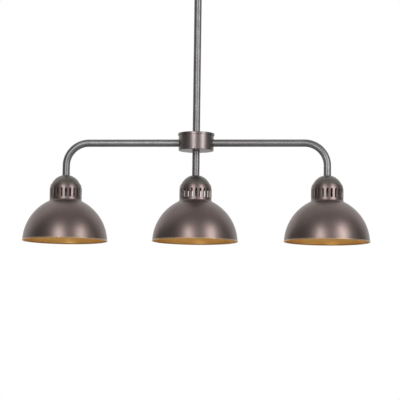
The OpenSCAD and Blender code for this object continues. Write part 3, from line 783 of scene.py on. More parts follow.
@dataclass
class Hub(Group):
    """The drum with its floor, and the pressed lid.

    Attributes:
        wall: Wall and floor of the drum.
        edge: Radius of the outer edges.
        brim: Chamfer on the drum's upper edge.
        lid_wall: Wall of the lid.
        lip: Chamfer on the lid's lower edge.
        ring: Share of the radius at which a flat has a ring of points.
    """

    wall: float = 2 * MM
    edge: float = 0.9 * MM
    brim: float = 0.2 * MM
    lid_wall: float = 1.6 * MM
    lip: float = 0.35 * MM
    ring: float = 0.6

    def cup(self, radius: float, floor: float, brim: float, wall: float, chamfer: float) -> Solid:
        """Makes a round cup whose floor has a hole for the rod, open above or below.

        Args:
            radius: Its outside radius.
            floor: Height of its floor's outside.
            brim: Height of its open end.
            wall: Its wall and floor.
            chamfer: Chamfer on its open end.

        Returns:
            The cup.
        """
        up = math.copysign(1.0, brim - floor)
        inner = radius - wall
        profile = [(ROD_HOLE, floor), (radius * self.ring, floor)]
        profile += arc((radius - self.edge, floor + up * self.edge), self.edge, -90 * up, 0, 6)
        profile += [(radius, brim - up * chamfer), (radius - chamfer, brim), (inner, brim)]
        profile += [(inner, floor + up * wall), (ROD_HOLE, floor + up * wall)]
        return spun(profile, WIDE)

    def build(self) -> None:
        """Makes the drum and lid, and dresses what they hold."""
        low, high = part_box("hub_body")
        drum = self.cup(high.x, low.z, high.z, self.wall, self.brim)
        add_piece("hub_drum", drum, HUB_BRONZE, "lamp", ["hub_body"])
        low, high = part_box("hub_lid")
        lid = self.cup(high.x, high.z, low.z, self.lid_wall, self.lip)
        add_piece("hub_pressed_lid", lid, HUB_BRONZE, "lamp", ["hub_lid"])
        self.dress(ZINC_STEEL, "hub_rod", "arm_nipples", "arm_washers", "arm_nuts")
        self.dress(BRASS, "tube_bushes")
        self.dress(WHITE_PLASTIC, "hub_connectors")
        self.dress(LEAD_SHEATH, "stem_cable", "left_leads", "centre_leads", "right_leads")


@dataclass
class Head(Group):
    """One head: cap, gallery with its vent slots, dome shade and what clamps them.

    Attributes:
        side: Name of the head's place on the lamp.
        turn: Angle of the first vent slot from the front, in degrees.
        dome_radius: Largest radius of the dome's sheet.
        dome_offset: Distance by which the dome's arc is centred past the axis.
        dome_below: Depth of that centre below the rim.
        gallery: Radius of the gallery.
        crown_drop: Depth of the crown's centre below the seam.
        neck: Radius of the hollow curve under the gallery.
        mouth: Radius of the opening in the top flange.
        bead: Radius of the rim's rolled bead.
        bead_proud: Distance by which the bead stands out past the sheet.
        bronze: Thickness of the spun sheet.
        lacquer: Depth from the outside to the gold lining's own back.
        lining: Depth from the outside to the gold lining's face.
        slots: Number of vent slots.
        slot_width: Width of a slot.
        slot_height: Height of a slot.
        slot_drop: Depth of the slots' upper ends below the seam.
        slot_edge: Chamfer on a slot's outer edge.
        margin: Band of sheet above and below the slots.
        cap_step: Step between the cap and the gallery.
        cap_flat: Radius of the flat on the cap.
        cap_ring: Share of that radius at which the flat has a ring of points.
        cap_wall: Wall of the cap.
        cap_lip: Chamfer on the cap's foot.
        cap_gap: Gap between the cap's foot and the shade's flange.
        cap_end: Angle that the cap's outside stops short of its seam's.
        cap_reach: Angle up to which the cap is hollowed round.
        lap: Share of a line's depth by which it reaches lower at the rim.
        steps: Steps of the sheet over one slot's width, and along one of its sides.
    """

    side: str
    turn: float
    dome_radius: float = 99 * MM
    dome_offset: float = 8 * MM
    dome_below: float = 3 * MM
    gallery: float = 37.3 * MM
    crown_drop: float = 13.5 * MM
    neck: float = 6 * MM
    mouth: float = 26 * MM
    bead: float = 1.4 * MM
    bead_proud: float = 1 * MM
    bronze: float = 1.0 * MM
    lacquer: float = 1.02 * MM
    lining: float = 1.2 * MM
    slots: int = 23
    slot_width: float = 4.5 * MM
    slot_height: float = 21 * MM
    slot_drop: float = 10.5 * MM
    slot_edge: float = 0.3 * MM
    margin: float = 1.5 * MM
    cap_step: float = 1.1 * MM
    cap_flat: float = 11 * MM
    cap_ring: float = 0.85
    cap_wall: float = 1.2 * MM
    cap_lip: float = 0.25 * MM
    cap_gap: float = 0.02 * MM
    cap_end: float = 0.4
    cap_reach: float = 72.0
    lap: float = 0.25
    steps: int = 10

    def __post_init__(self) -> None:
        """Reads the head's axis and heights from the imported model."""
        low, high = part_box(f"{self.side}_shade")
        self.axis: Vector = Vector(((low.x + high.x) / 2, 0, high.z))
        self.rim: float = low.z - high.z
        self.crown: float = -self.crown_drop
        self.dome_z: float = self.rim - self.dome_below
        self.dome_arc: float = self.dome_radius + self.dome_offset
        self.neck_x: float = self.gallery + self.neck
        across = self.neck_x + self.dome_offset
        rise = math.sqrt((self.dome_arc + self.neck) ** 2 - across ** 2)
        self.neck_z: float = self.dome_z + rise
        self.neck_angle: float = math.degrees(math.atan2(rise, across))
        self.band_top: float = -self.slot_drop + self.margin
        self.band_low: float = -self.slot_drop - self.slot_height - self.margin

    def gallery_at(self, depth: float, z: float) -> float:
        """Radius of the gallery's sheet at a depth from its outside and at a height."""
        radius = self.gallery - depth
        return math.sqrt(radius ** 2 - max(0.0, z - self.crown) ** 2)

    def upper_line(self, depth: float) -> list[Point]:
        """Sheet line from the flange's opening to the slots' upper edge.

        Args:
            depth: Depth from the sheet's outside.

        Returns:
            The line's points.
        """
        radius = self.gallery - depth
        top = math.degrees(math.asin((self.crown_drop - depth) / radius))
        low = math.degrees(math.asin((self.band_top - self.crown) / radius))
        return [(self.mouth, -depth)] + arc((0, self.crown), radius, top, low, 8)

    def neck_line(self, depth: float) -> list[Point]:
        """Sheet line from the slots' lower edge round the hollow curve, at a depth from the outside."""
        start = (self.gallery - depth, self.band_low)
        return [start] + arc((self.neck_x, self.neck_z), self.neck + depth, 180, 180 + self.neck_angle, 12)

    def dome_line(self, depth: float) -> list[Point]:
        """Sheet line from the hollow curve to the rim's bead.

        Args:
            depth: Depth from the sheet's outside.

        Returns:
            The line's points.
        """
        radius = self.dome_arc - depth
        meets = self.rim + self.bead * 2 - depth * self.lap
        foot = math.degrees(math.asin((meets - self.dome_z) / radius))
        return arc((-self.dome_offset, self.dome_z), radius, self.neck_angle, foot, 56)

    def lower_line(self, depth: float) -> list[Point]:
        """Sheet line from the slots' lower edge to the rim's bead, at a depth from the outside."""
        return self.neck_line(depth) + self.dome_line(depth)[1:]

    def rim_bead(self) -> Solid:
        """Rolled bead round the rim."""
        centre = (self.dome_radius + self.bead_proud - self.bead, self.rim + self.bead)
        return spun(arc(centre, self.bead, 0, 360, 32)[1:], self.slots * self.steps)

    def cell(self, middle: float, depths: Sequence[tuple[float, float]]) -> list[list[Vector]]:
        """Loops of points round one slot, from the sheet's outside to its inside.

        Args:
            middle: Angle of the slot's middle.
            depths: For each loop its depth from the outside and how far it stands off the slot's
                outline; a negative distance asks for the cell's own square border.

        Returns:
            The loops, all as long.
        """
        half_turn = 180.0 / self.slots
        half = self.slot_height / 2 - self.slot_width / 2
        centre = self.band_top - self.margin - self.slot_height / 2
        count = self.steps
        border = [(u, self.band_low) for u in along(-half_turn, half_turn, count)]
        border += [(half_turn, v) for v in along(self.band_low, self.band_top, count)[1:]]
        border += [(u, self.band_top) for u in along(half_turn, -half_turn, count)[1:]]
        border += [(-half_turn, v) for v in along(self.band_top, self.band_low, count)[1:-1]]
        loops = []
        for depth, stand_off in depths:
            if stand_off < 0:
                flat = border
            else:
                radius = self.slot_width / 2 + stand_off
                outline = arc((0, centre - half), radius, 180, 360, count)
                outline += [(radius, v) for v in along(centre - half, centre + half, count)[1:]]
                outline += arc((0, centre + half), radius, 0, 180, count)[1:]
                outline += [(-radius, v) for v in along(centre + half, centre - half, count)[1:-1]]
                flat = [(math.degrees(u / self.gallery), v) for u, v in outline]
            loops.append([turned(self.gallery_at(depth, v), middle + u, v) for u, v in flat])
        return loops

    def shell(self, outside: float, inside: float) -> Solid:
        """Spun sheet with the vent slots cut through it.

        Args:
            outside: Depth of the sheet's outer face.
            inside: Depth of its inner face.

        Returns:
            The closed sheet.
        """
        made = Solid()
        segments = self.slots * self.steps
        offset = self.turn - 180.0 / self.slots
        upper = self.upper_line(inside)[::-1] + self.upper_line(outside)
        lower = self.lower_line(outside) + self.lower_line(inside)[::-1]
        made.spin(upper, segments, closed=False, offset=offset)
        made.spin(lower, segments, closed=False, offset=offset)
        edge = min(self.slot_edge, (inside - outside) / 3)
        depths = [(outside, -1.0), (outside, edge), (outside + edge, 0.0), (inside, 0.0), (inside, -1.0)]
        for slot in range(self.slots):
            made.grid(self.cell(self.turn + slot * 360.0 / self.slots, depths), False, True)
        return made

    def gold(self) -> Solid:
        """Gold lining of the dome, on the sheet's inner face."""
        # The lining stops at the neck, so the gallery's inside keeps the darker bronze: painted shade for the
        # dark inside of the gallery.
        profile = self.dome_line(self.lacquer) + self.dome_line(self.lining)[::-1]
        return spun(profile, self.slots * self.steps)

    def cap(self) -> Solid:
        """Makes the domed cap, with a flat where the tube stands.

        Returns:
            The cap.
        """
        radius = self.gallery - self.cap_step
        top = self.crown + math.sqrt(radius ** 2 - self.cap_flat ** 2)
        flat = math.degrees(math.acos(self.cap_flat / radius))
        foot = math.degrees(math.asin(self.crown_drop / radius))
        inner = radius - self.cap_wall
        profile = [(ROD_HOLE, top), (self.cap_flat * self.cap_ring, top)]
        profile += arc((0, self.crown), radius, flat, foot + self.cap_end, 30)
        profile += [(radius * math.cos(math.radians(foot)) - self.cap_lip, self.cap_gap)]
        inner_foot = math.degrees(math.asin(self.crown_drop / inner))
        profile += arc((0, self.crown), inner, inner_foot, self.cap_reach, 24)
        under = top - self.cap_wall
        profile += [(self.cap_flat * self.cap_ring, under), (ROD_HOLE, under)]
        return spun(profile, 240)

    def build(self) -> None:
        """Makes the head's pieces and dresses what they hold."""
        for piece, solid, finish, node in (
            ("shade_sheet", self.shell(0.0, self.bronze), SHADE_BRONZE, "shade"),
            ("rim_bead", self.rim_bead(), RIM_GOLD_AND_SHEEN, "shade"),
            ("shade_lining", self.gold(), GOLD_LACQUER, "shade"),
            ("domed_cap", self.cap(), CAP_BRONZE, "cap"),
        ):
            add_piece(f"{self.side}_{piece}", solid, finish, "lamp", [f"{self.side}_{node}"], self.axis)
        self.dress(BLACK_ZINC, f"{self.side}_clamp_plate")


@dataclass
class Lampholder(Group):
    """One lampholder: turned cover and body, screw shell, insulating core and contact.

    Attributes:
        side: Name of the head that it hangs in.
        wall: Wall of the body.
        edge: Chamfer on the cover's lower edge, and inside the body's lip.
        top_edge: Chamfer on the body's upper edge.
        lip: Radius of the body's lower lip.
        lip_inside: Share of that radius at which the lip's inner chamfer ends.
        ribs: Number of grip ribs round the body.
        rib_depth: Depth of the grooves between the ribs.
        ribs_from: Share of the body's height at which the ribs start.
        ribs_end: Height of the plain band above them.
        rib_steps: Reach of the grooves' ends, outside and inside the ribbed band.
        shoulder: Radius of the cover's round shoulder.
        shoulder_from: Share of the cover's side at which the shoulder starts.
        shoulder_turn: Angle by which it bends.
        hollow: Shares of the cover's side between which its inside slopes.
        neck: Radius of the cover's neck.
        neck_height: Height of that neck.
        neck_edge: Radius of the neck's upper edge.
        neck_foot: Width of the slope at the neck's foot, and its reach below and above the side's top.
        thread_pitch: Pitch of the lamp's thread.
        thread_depth: Depth of the rolled thread.
        thread_fade: Height over which the thread fades out at each end.
        shell_wall: Wall of the screw shell.
        shell_gap: Distance from the shell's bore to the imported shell's outside.
        strip: Thickness of the contact's sprung strip.
        sprung: Share of the strip's half length that is bent down.
        stud: Height of the stud below the strip's lowest face.
        stud_radius: Radius of the stud's flat.
        stud_edge: Radius of the stud's round edge.
        stud_bulge: Bulge of that edge, as a share of its radius.
    """

    side: str
    wall: float = 1.8 * MM
    edge: float = 0.3 * MM
    top_edge: float = 0.4 * MM
    lip: float = 0.8 * MM
    lip_inside: float = 0.6
    ribs: int = 36
    rib_depth: float = 0.45 * MM
    ribs_from: float = 0.45
    ribs_end: float = 3 * MM
    rib_steps: Point = (0.2 * MM, 0.5 * MM)
    shoulder: float = 4 * MM
    shoulder_from: float = 0.45
    shoulder_turn: float = 62.0
    hollow: Band = (0.3, 0.7)
    neck: float = 9 * MM
    neck_height: float = 9 * MM
    neck_edge: float = 0.6 * MM
    neck_foot: tuple[float, float, float] = (1.2 * MM, 0.5 * MM, 0.4 * MM)
    thread_pitch: float = 3.62 * MM
    thread_depth: float = 0.7 * MM
    thread_fade: float = 1.5 * MM
    shell_wall: float = 0.35 * MM
    shell_gap: float = 0.6 * MM
    strip: float = 0.5 * MM
    sprung: float = 0.75
    stud: float = 0.6 * MM
    stud_radius: float = 2.4 * MM
    stud_edge: float = 0.62 * MM
    stud_bulge: float = 0.6

    def cover(self, radius: float, low: float, high: float) -> Solid:
        """Makes the turned cover with its neck.

        Args:
            radius: Its outside radius.
            low: Height of its lower end.
            high: Height of its upper end.

        Returns:
            The cover.
        """
        rise = high - low - self.neck_height
        inner = radius - self.wall
        profile = [(inner, low), (radius - self.edge, low), (radius, low + self.edge)]
        bend = (radius - self.shoulder, low + rise * self.shoulder_from)
        profile += arc(bend, self.shoulder, 0, self.shoulder_turn, 8)
        width, below, above = self.neck_foot
        profile += [(self.neck + width, low + rise - below), (self.neck, low + rise + above)]
        profile += arc((self.neck - self.neck_edge, high - self.neck_edge), self.neck_edge, 0, 90, 4)
        profile += [(THREAD_HOLE, high), (THREAD_HOLE, high - self.neck_height)]
        start, stop = self.hollow
        profile += [(inner - self.shoulder, low + rise * stop), (inner, low + rise * start)]
        return spun(profile, MIDDLING)

    def body(self, radius: float, low: float, high: float) -> Solid:
        """Makes the body, with grip ribs above and a plain lip below.

        Args:
            radius: Its outside radius.
            low: Height of its lower end.
            high: Height of its upper end.

        Returns:
            The body.
        """
        bottom = low + (high - low) * self.ribs_from
        top = high - self.ribs_end

        def grip(profile_radius: float, z: float, angle: float) -> float:
            """Radius with the grooves between the ribs.

            Args:
                profile_radius: The profile's radius.
                z: The height.
                angle: The angle round the axis, in degrees.

            Returns:
                The grooved radius.
            """
            if profile_radius < radius or not bottom < z < top:
                return profile_radius
            wave = 0.5 - 0.5 * math.cos(math.radians(angle * self.ribs))
            return profile_radius - self.rib_depth * wave ** 2

        inner = radius - self.wall
        profile = arc((radius - self.lip, low + self.lip), self.lip, -90, 0, 5)
        outside, inside = self.rib_steps
        profile += [(radius, bottom - outside), (radius, bottom + inside)]
        profile += [(radius, top - inside), (radius, top + outside)]
        profile += [(radius, high - self.top_edge), (radius - self.top_edge, high), (inner, high)]
        profile += [(inner, low + self.lip * self.lip_inside), (inner + self.edge, low)]
        return spun(profile, self.ribs * 8, shape=grip)

    def shell(self, bore: float, low: float, high: float) -> Solid:
        """Makes the screw shell of thin sheet, with the lamp's rolled thread.

        Args:
            bore: Radius of its bore.
            low: Height of its lower end.
            high: Height of its upper end.

        Returns:
            The shell.
        """

        def rolled(profile_radius: float, z: float, angle: float) -> float:
            """Radius with the thread's wave, faded out at the shell's ends.

            Args:
                profile_radius: The profile's radius.
                z: The height.
                angle: The angle round the axis, in degrees.

            Returns:
                The waved radius.
            """
            fade = max(0.0, min(1.0, (z - low) / self.thread_fade, (high - z) / self.thread_fade))
            wave = 0.5 - 0.5 * math.cos(math.tau * (z / self.thread_pitch - angle / 360.0))
            return profile_radius + self.thread_depth * wave * fade

        heights = along(low, high, 72)
        profile = [(bore, z) for z in heights] + [(bore + self.shell_wall, z) for z in heights[::-1]]
        return spun(profile, NARROW, shape=rolled)

    def contact(self, low: Vector, high: Vector) -> Solid:
        """Makes the sprung strip with the stud that meets the lamp.

        Args:
            low: Lowest corner of its box.
            high: Highest corner of its box.

        Returns:
            The contact.
        """
        stud = low.z + self.stud
        rows = []
        for y in along(low.y, high.y, 24):
            share = max(0.0, 1.0 - abs(y) / (high.y * self.sprung))
            upper = high.z - (high.z - self.strip - stud) * (3 * share ** 2 - 2 * share ** 3)
            lower = upper - self.strip
            corners = ((low.x, lower), (high.x, lower), (high.x, upper), (low.x, upper))
            rows.append([Vector((x, y, z)) for x, z in corners])
        made = Solid()
        made.grid(rows, False, True)
        made.cap(rows[0])
        made.cap(rows[-1])
        edge = arc((0, stud), self.stud_edge, -90, 90, 8)
        profile = [(0, low.z)] + [(self.stud_radius + r * self.stud_bulge, z) for r, z in edge]
        profile += [(0, stud + self.stud_edge)]
        button = spun(profile, 32, closed=False)
        made.join(button.moved(Matrix.Translation(((low.x + high.x) / 2, 0, 0))))
        return made

    def build(self) -> None:
        """Makes the lampholder's pieces and dresses its core."""
        name = self.side
        axis = Vector((middle_of(f"{name}_holder_body").x, 0, 0))
        low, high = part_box(f"{name}_holder_cover")
        radius = (high.x - low.x) / 2
        cover = self.cover(radius, low.z, high.z)
        add_piece(f"{name}_turned_cover", cover, PHENOLIC, "lamp", [f"{name}_holder_cover"], axis)
        low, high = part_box(f"{name}_holder_body")
        body = self.body(radius, low.z, high.z)
        add_piece(f"{name}_ribbed_body", body, PHENOLIC, "lamp", [f"{name}_holder_body"], axis)
        low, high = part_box(f"{name}_screw_shell")
        bore = (high.x - low.x) / 2 - self.shell_gap
        shell = self.shell(bore, low.z, high.z)
        add_piece(f"{name}_rolled_shell", shell, BRASS, "lamp", [f"{name}_screw_shell"], axis)
        low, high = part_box(f"{name}_contact")
        add_piece(f"{name}_sprung_contact", self.contact(low, high), BRASS, "lamp", [f"{name}_contact"])
        self.dress(PORCELAIN, f"{name}_holder_core")


@dataclass
class HeadFixings(Group):
    """The nuts and threaded pieces that carry the three heads.

    Attributes:
        flats: Width of a nut across its flats.
    """

    flats: float = 14 * MM

    def build(self, sides: Sequence[str]) -> None:
        """Makes the nuts and dresses the rest.

        Args:
            sides: Names of the heads.
        """
        low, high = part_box("head_nuts")
        nuts = Solid()
        for side in sides:
            nut = hex_nut(self.flats, THREAD_HOLE, low.z, high.z)
            nuts.join(nut.moved(Matrix.Translation((middle_of(f"{side}_cap").x, 0, 0))))
        add_piece("head_hex_nuts", nuts, BLACK_ZINC, "lamp", ["head_nuts"])
        self.dress(BLACK_ZINC, "head_nipples", "head_washers")


@dataclass
class CeilingGroup(Group):
    """The canopy with its knurled screws, and what it covers.

    Attributes:
        wall: Wall of the canopy.
        edge: Outside radius of its lower edge.
        brim: Chamfer on its upper edge.
        ring: Share of its radius at which the floor has a ring of points.
        bush_hole: Radius of the hole in its floor.
        shank: Radius of a screw's shank.
        reach: Length of a screw inside the canopy's outside.
        knurls: Number of grooves round a screw's head.
        knurl_depth: Depth of those grooves.
        tip: Chamfer on a screw's end.
        head_foot: Width and height of the slope at a head's foot.
        head_step: Width and height of the slope that ends the knurling.
        head_inset: Distance from the head's side to the centre of its round end.
        head_crown: Radius of the head's round end.
        crown_from: Angle at which that rounding starts.
        bush_flats: Width of the bush's nut across its flats.
        bush_bore: Radius of that nut's hole.
    """

    wall: float = 1.2 * MM
    edge: float = 4 * MM
    brim: float = 0.3 * MM
    ring: float = 0.5
    bush_hole: float = 8.15 * MM
    shank: float = 2 * MM
    reach: float = 8 * MM
    knurls: int = 30
    knurl_depth: float = 0.35 * MM
    tip: float = 0.4 * MM
    head_foot: Point = (0.6 * MM, 0.5 * MM)
    head_step: float = 0.5 * MM
    head_inset: float = 1.2 * MM
    head_crown: float = 0.9 * MM
    crown_from: float = 20.0
    bush_flats: float = 21 * MM
    bush_bore: float = 8.05 * MM

    def canopy(self, radius: float, low: float, high: float) -> Solid:
        """Makes the round cup, open above.

        Args:
            radius: Its outside radius.
            low: Height of its lower end.
            high: Height of its upper end.

        Returns:
            The cup.
        """
        inner = radius - self.wall
        corner = (radius - self.edge, low + self.edge)
        profile = [(self.bush_hole, low), (radius * self.ring, low)]
        profile += arc(corner, self.edge, -90, 0, 12)
        profile += [(radius, high - self.brim), (radius - self.brim, high)]
        profile += [(inner + self.brim, high), (inner, high - self.brim)]
        profile += arc(corner, self.edge - self.wall, 0, -90, 10)
        profile += [(self.bush_hole, low + self.wall)]
        return spun(profile, WIDE)

    def knurled_screw(self, start: float, head_low: float, head_high: float, radius: float) -> Solid:
        """Makes a screw along Z with a knurled head and a rounded end.

        Args:
            start: Where the shank starts.
            head_low: Where the head starts.
            head_high: Where the head ends.
            radius: Radius of the head.

        Returns:
            The screw.
        """

        def knurl(profile_radius: float, _z: float, angle: float) -> float:
            """Radius with the knurling's grooves on the head's side."""
            groove = self.knurl_depth * abs(((angle * self.knurls / 360.0) % 1.0) * 2 - 1)
            return profile_radius - groove if profile_radius >= radius else profile_radius

        width, height = self.head_foot
        profile = [(0, start), (self.shank - self.tip, start), (self.shank, start + self.tip)]
        profile += [(self.shank, head_low), (radius - width, head_low), (radius, head_low + height)]
        crown_z = head_high - self.head_crown
        profile += [(radius, crown_z - self.head_step), (radius - self.head_step, crown_z)]
        middle = (radius - self.head_inset, crown_z)
        profile += arc(middle, self.head_crown, self.crown_from, 90, 5)
        profile += [(0, head_high)]
        return spun(profile, self.knurls * 8, closed=False, shape=knurl)

    def build(self) -> None:
        """Makes the canopy group."""
        low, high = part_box("canopy")
        radius = high.x
        add_piece("canopy_cup", self.canopy(radius, low.z, high.z), CANOPY_BRONZE, "ceiling", ["canopy"])
        low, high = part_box("canopy_screws")
        axis = Vector((0, 0, (low.z + high.z) / 2))
        head_radius = (high.z - low.z) / 2
        screw = self.knurled_screw(radius - self.reach, radius + HEAD_GAP, high.x, head_radius)
        pair = sideways_pair(screw, axis)
        add_piece("canopy_knurled_screws", pair, FITTING_BRONZE, "ceiling", ["canopy_screws"])
        low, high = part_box("bush_nut")
        nut = hex_nut(self.bush_flats, self.bush_bore, low.z, high.z)
        add_piece("bush_hex_nut", nut, ZINC_STEEL, "ceiling", ["bush_nut"])
        self.dress(ZINC_STEEL, "ceiling_plate", "bush_washer")
        self.dress(BRASS, "plate_screws", "terminal_clamps")
        self.dress(WHITE_PLASTIC, "terminal_block")
        self.dress(LEAD_SHEATH, "canopy_lead")
        self.dress(FITTING_BRONZE, "swivel_bush")


@dataclass
class SwivelGroup(Group):
    """The yoke, the stem's eye and the pivot screws.

    Attributes:
        nut_flats: Width of the yoke's nut across its flats.
        shank: Radius of a pivot screw's shank.
        start: Distance from the stem's axis at which that shank starts.
        tip: Chamfer on the shank's end.
        head_edge: Radius of the head's outer edge.
        driver_slot: Width of the slot in the head, and its depth.
    """

    nut_flats: float = 14 * MM
    shank: float = 2 * MM
    start: float = 3.95 * MM
    tip: float = 0.3 * MM
    head_edge: float = 0.5 * MM
    driver_slot: float = 0.9 * MM

    def pivot_screw(self, head_low: float, high: float, head: float) -> Solid:
        """Makes a cheese-headed screw along Z.

        Args:
            head_low: Where its head starts.
            high: Where its head ends.
            head: Radius of its head.

        Returns:
            The screw.
        """
        profile = [(0, self.start), (self.shank - self.tip, self.start), (self.shank, self.start + self.tip)]
        profile += [(self.shank, head_low), (head - self.tip / 2, head_low), (head, head_low + self.tip / 2)]
        profile += arc((head - self.head_edge, high - self.head_edge), self.head_edge, 0, 90, 6)
        profile += [(0, high)]
        return spun(profile, 64, closed=False)

    def build(self) -> None:
        """Makes the swivel group."""
        low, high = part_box("yoke_nut")
        nut = hex_nut(self.nut_flats, THREAD_HOLE, low.z, high.z)
        add_piece("yoke_hex_nut", nut, ZINC_STEEL, "swivel", ["yoke_nut"])
        self.dress(FITTING_BRONZE, "swivel_yoke", "stem_eye")
        self.dress(ZINC_STEEL, "yoke_washer", "pivot_washers")
        low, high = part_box("pivot_screws")
        axis = Vector((0, 0, (low.z + high.z) / 2))
        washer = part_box("pivot_washers")[1].x
        screw = self.pivot_screw(washer + HEAD_GAP, high.x, (high.z - low.z) / 2)
        pair = sideways_pair(screw, axis)
        screws = add_piece("pivot_cheese_screws", pair, ZINC_STEEL, "lamp", ["pivot_screws"])
        half = self.driver_slot / 2
        reach = high.z - low.z
        for side in (-1, 1):
            ends = sorted((side * (high.x - self.driver_slot), side * (high.x + MM)))
            cut_slot(screws, (ends[0], -reach, axis.z - half), (ends[1], reach, axis.z + half))


@dataclass
class StripLight:
    """A tall soft light beside the camera.

    Attributes:
        name: The light's name.
        azimuth: Its direction from the lamp, in degrees from the front towards +X.
        distance: Its distance from the stem's axis.
        width: Its width.
        low: Height of its lower end.
        high: Height of its upper end.
        lean: Angle in degrees by which its top leans to the left, seen from behind the light.
        watts: Its power.
        colour: Its colour.
    """

    name: str
    azimuth: float
    distance: float
    width: float
    low: float
    high: float
    lean: float
    watts: float
    colour: Colour = (1.0, 0.97, 0.97)

    def build(self) -> None:
        """Hangs the light up, facing the stem."""
        data = bpy.data.lights.new(self.name, "AREA")
        data.shape = "RECTANGLE"
        data.size = self.width
        data.size_y = self.high - self.low
        data.energy = self.watts
        data.color = self.colour
        made = bpy.data.objects.new(self.name, data)
        bpy.context.scene.collection.objects.link(made)
        out = turned(self.distance, self.azimuth, (self.low + self.high) / 2)
        made.location = out
        facing = Vector((-out.x, -out.y, 0)).to_track_quat("-Z", "Y")
        made.rotation_euler = (facing @ Quaternion((0, 0, 1), math.radians(self.lean))).to_euler()
        log.info("%s: %.0f W at %.1f m", self.name, self.watts, self.distance)


@dataclass
class Studio:
    """A white room: pale floor, white backdrop and two strip lights.

    The world's levels go by direction, as the x, y and z of a length of 1.

    Attributes:
        floor_z: Height of the floor.
        floor_radius: Radius of the floor.
        floor_cloud: Size of the floor's faint clouding.
        floor_greys: The two greys of that clouding.
        surround: Brightness of the backdrop behind the lamp, as a light.
        dark_side: Brightness of the room in front of the lamp, to its left.
        light_side: Brightness of the room in front of the lamp, to its right.
        overhead: Brightness of the room above the lamp.
        below: Brightness of the room in front of the lamp, below it.
        backdrop: Backwardness at which the backdrop starts, and at which it is full.
        backdrop_rise: What a direction's height adds to its backwardness.
        backdrop_turn: What its x takes away from it.
        sides: The x and y that count as rightwards.
        sides_band: Rightwardness of the dark side, and of the light side.
        overhead_band: Height at which the overhead level starts, and at which it is full.
        below_band: Depth at which the level below starts, and at which it is full.
        lights: The strip lights.
    """

    floor_z: float = -5.75
    floor_radius: float = 15.0
    floor_cloud: float = 1.2
    floor_greys: Point = (0.90, 0.86)
    surround: float = 0.95
    dark_side: float = 0.06
    light_side: float = 0.08
    overhead: float = 0.3
    below: float = 0.6
    backdrop: Band = (0.3, 0.8)
    backdrop_rise: float = 0.5
    backdrop_turn: float = 0.25
    sides: Point = (0.98, -0.16)
    sides_band: Band = (-0.9, 0.7)
    overhead_band: Band = (0.4, 0.9)
    below_band: Band = (0.0, 0.2)
    lights: tuple[StripLight, ...] = (
        StripLight(
            "strip_left", azimuth=-11.2, distance=4.0, width=0.72, low=-0.95, high=2.2,
            lean=6.5, watts=88.0,
        ),
        StripLight(
            "strip_right", azimuth=50.6, distance=2.46, width=0.78, low=-0.75, high=1.1,
            lean=-6.0, watts=39.0,
        ),
    )

    def floor(self) -> None:
        """Lays the floor."""
        made = spun([(0, 0), (self.floor_radius, 0)], NARROW, closed=False)
        piece = as_object("studio_floor", made, Vector((0, 0, self.floor_z)))
        paint = bpy.data.materials.new("studio_floor_paint")
        paint.use_nodes = True
        shader = Shader(paint.node_tree)
        place = shader.node("ShaderNodeTexCoord", output="Object")
        cloud = shader.noise(place, self.floor_cloud)
        pale, grey = self.floor_greys
        colour = shader.mixed(cloud, (pale, pale, pale), (grey, grey, grey))
        body = shader.node("ShaderNodeBsdfPrincipled", None, {"Base Color": colour, "Roughness": 0.7})
        shader.node("ShaderNodeOutputMaterial", None, {"Surface": body})
        piece.data.materials.append(paint)

    def sky(self) -> None:
        """Makes the surround: white to the camera, and a white backdrop and a dim room to light and gloss."""
        world = bpy.data.worlds.new("studio_surround")
        bpy.context.scene.world = world
        world.use_nodes = True
        shader = Shader(world.node_tree)
        seen = shader.node("ShaderNodeLightPath", output="Is Camera Ray")
        through = shader.node("ShaderNodeLightPath", output="Is Transmission Ray")
        gloss = shader.node("ShaderNodeLightPath", output="Is Glossy Ray")
        way = shader.node("ShaderNodeTexCoord", output="Generated")
        x, y, z = shader.parts(way)
        behind = (y + z * self.backdrop_rise - x * self.backdrop_turn).between(*self.backdrop)
        rightwards = (x * self.sides[0] + y * self.sides[1]).between(*self.sides_band)
        front = self.dark_side + (self.light_side - self.dark_side) * rightwards
        front = front + (self.overhead - front) * z.between(*self.overhead_band)
        front = front + (self.below - front) * (0.0 - z).between(*self.below_band)
        level = front + (self.surround - front) * behind
        shown = seen + through + gloss * behind
        strength = shown + (1.0 - shown) * level
        back = shader.node("ShaderNodeBackground", None, {"Color": (1, 1, 1, 1), "Strength": strength})
        shader.node("ShaderNodeOutputWorld", None, {"Surface": back})

    def build(self) -> None:
        """Makes the studio."""
        self.floor()
        self.sky()
        for light in self.lights:
            light.build()


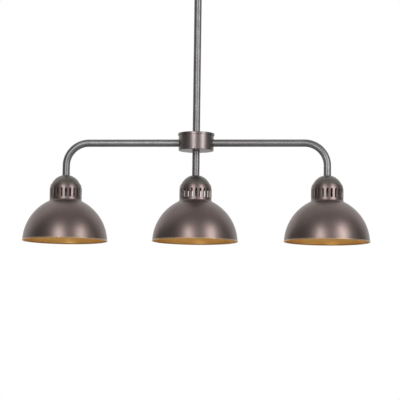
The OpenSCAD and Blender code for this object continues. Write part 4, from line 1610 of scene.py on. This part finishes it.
@dataclass
class PhotoCamera:
    """The camera at the photograph's place.

    Attributes:
        focal_px: Focal length in pixels of the 400-pixel image.
        distance: Distance from the stem's axis.
        height: Height above the arms' axis.
        yaw: Direction from the lamp, in degrees from the front towards +X.
        pitch: Upward tilt in degrees.
        roll: Turn about the line of sight, in degrees.
        pan: Turn about the upright, in degrees.
    """

    focal_px: float = 1820.0
    distance: float = 4.2
    height: float = -0.5587
    yaw: float = 6.0
    pitch: float = 5.79
    roll: float = 0.75
    pan: float = -0.145

    def build(self, arms_z: float) -> None:
        """Sets the camera up.

        Args:
            arms_z: Height of the arms' axis.
        """
        data = bpy.data.cameras.new("photo_camera")
        data.sensor_width = SENSOR_MM
        data.lens = self.focal_px * SENSOR_MM / IMAGE_PX
        made = bpy.data.objects.new("photo_camera", data)
        bpy.context.scene.collection.objects.link(made)
        back = turned(1.0, self.yaw, 0.0)
        tilt = math.radians(self.pitch)
        forward = -back * math.cos(tilt) + Vector((0, 0, math.sin(tilt)))
        right = forward.cross(Vector((0, 0, 1))).normalized()
        up = right.cross(forward)
        lean = math.radians(self.roll)
        right, up = right * math.cos(lean) + up * math.sin(lean), up * math.cos(lean) - right * math.sin(lean)
        turn = Matrix.Rotation(math.radians(self.pan), 3, "Z")
        axes = Matrix((turn @ right, turn @ up, -(turn @ forward))).transposed()
        place = Matrix.Translation(back * self.distance + Vector((0, 0, arms_z + self.height)))
        made.matrix_world = place @ axes.to_4x4()
        bpy.context.scene.camera = made


def main() -> None:
    """Builds the pendant, its studio and its camera."""
    logging.basicConfig(level=logging.INFO, format="%(name)s: %(message)s")
    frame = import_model()
    bpy.context.scene.view_settings.view_transform = "Standard"
    arms_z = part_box("left_arm")[1].z - Tubework().radius
    PhotoCamera().build(arms_z)
    Studio().build()
    CeilingGroup(frame).build()
    SwivelGroup(frame).build()
    Tubework().build()
    Hub(frame).build()
    turns = {"left": 10.6, "centre": 8.0, "right": 2.3}
    for side, turn in turns.items():
        Head(frame, side, turn).build()
        Lampholder(frame, side).build()
    HeadFixings(frame).build(list(turns))


if __name__ == "__main__":
    main()
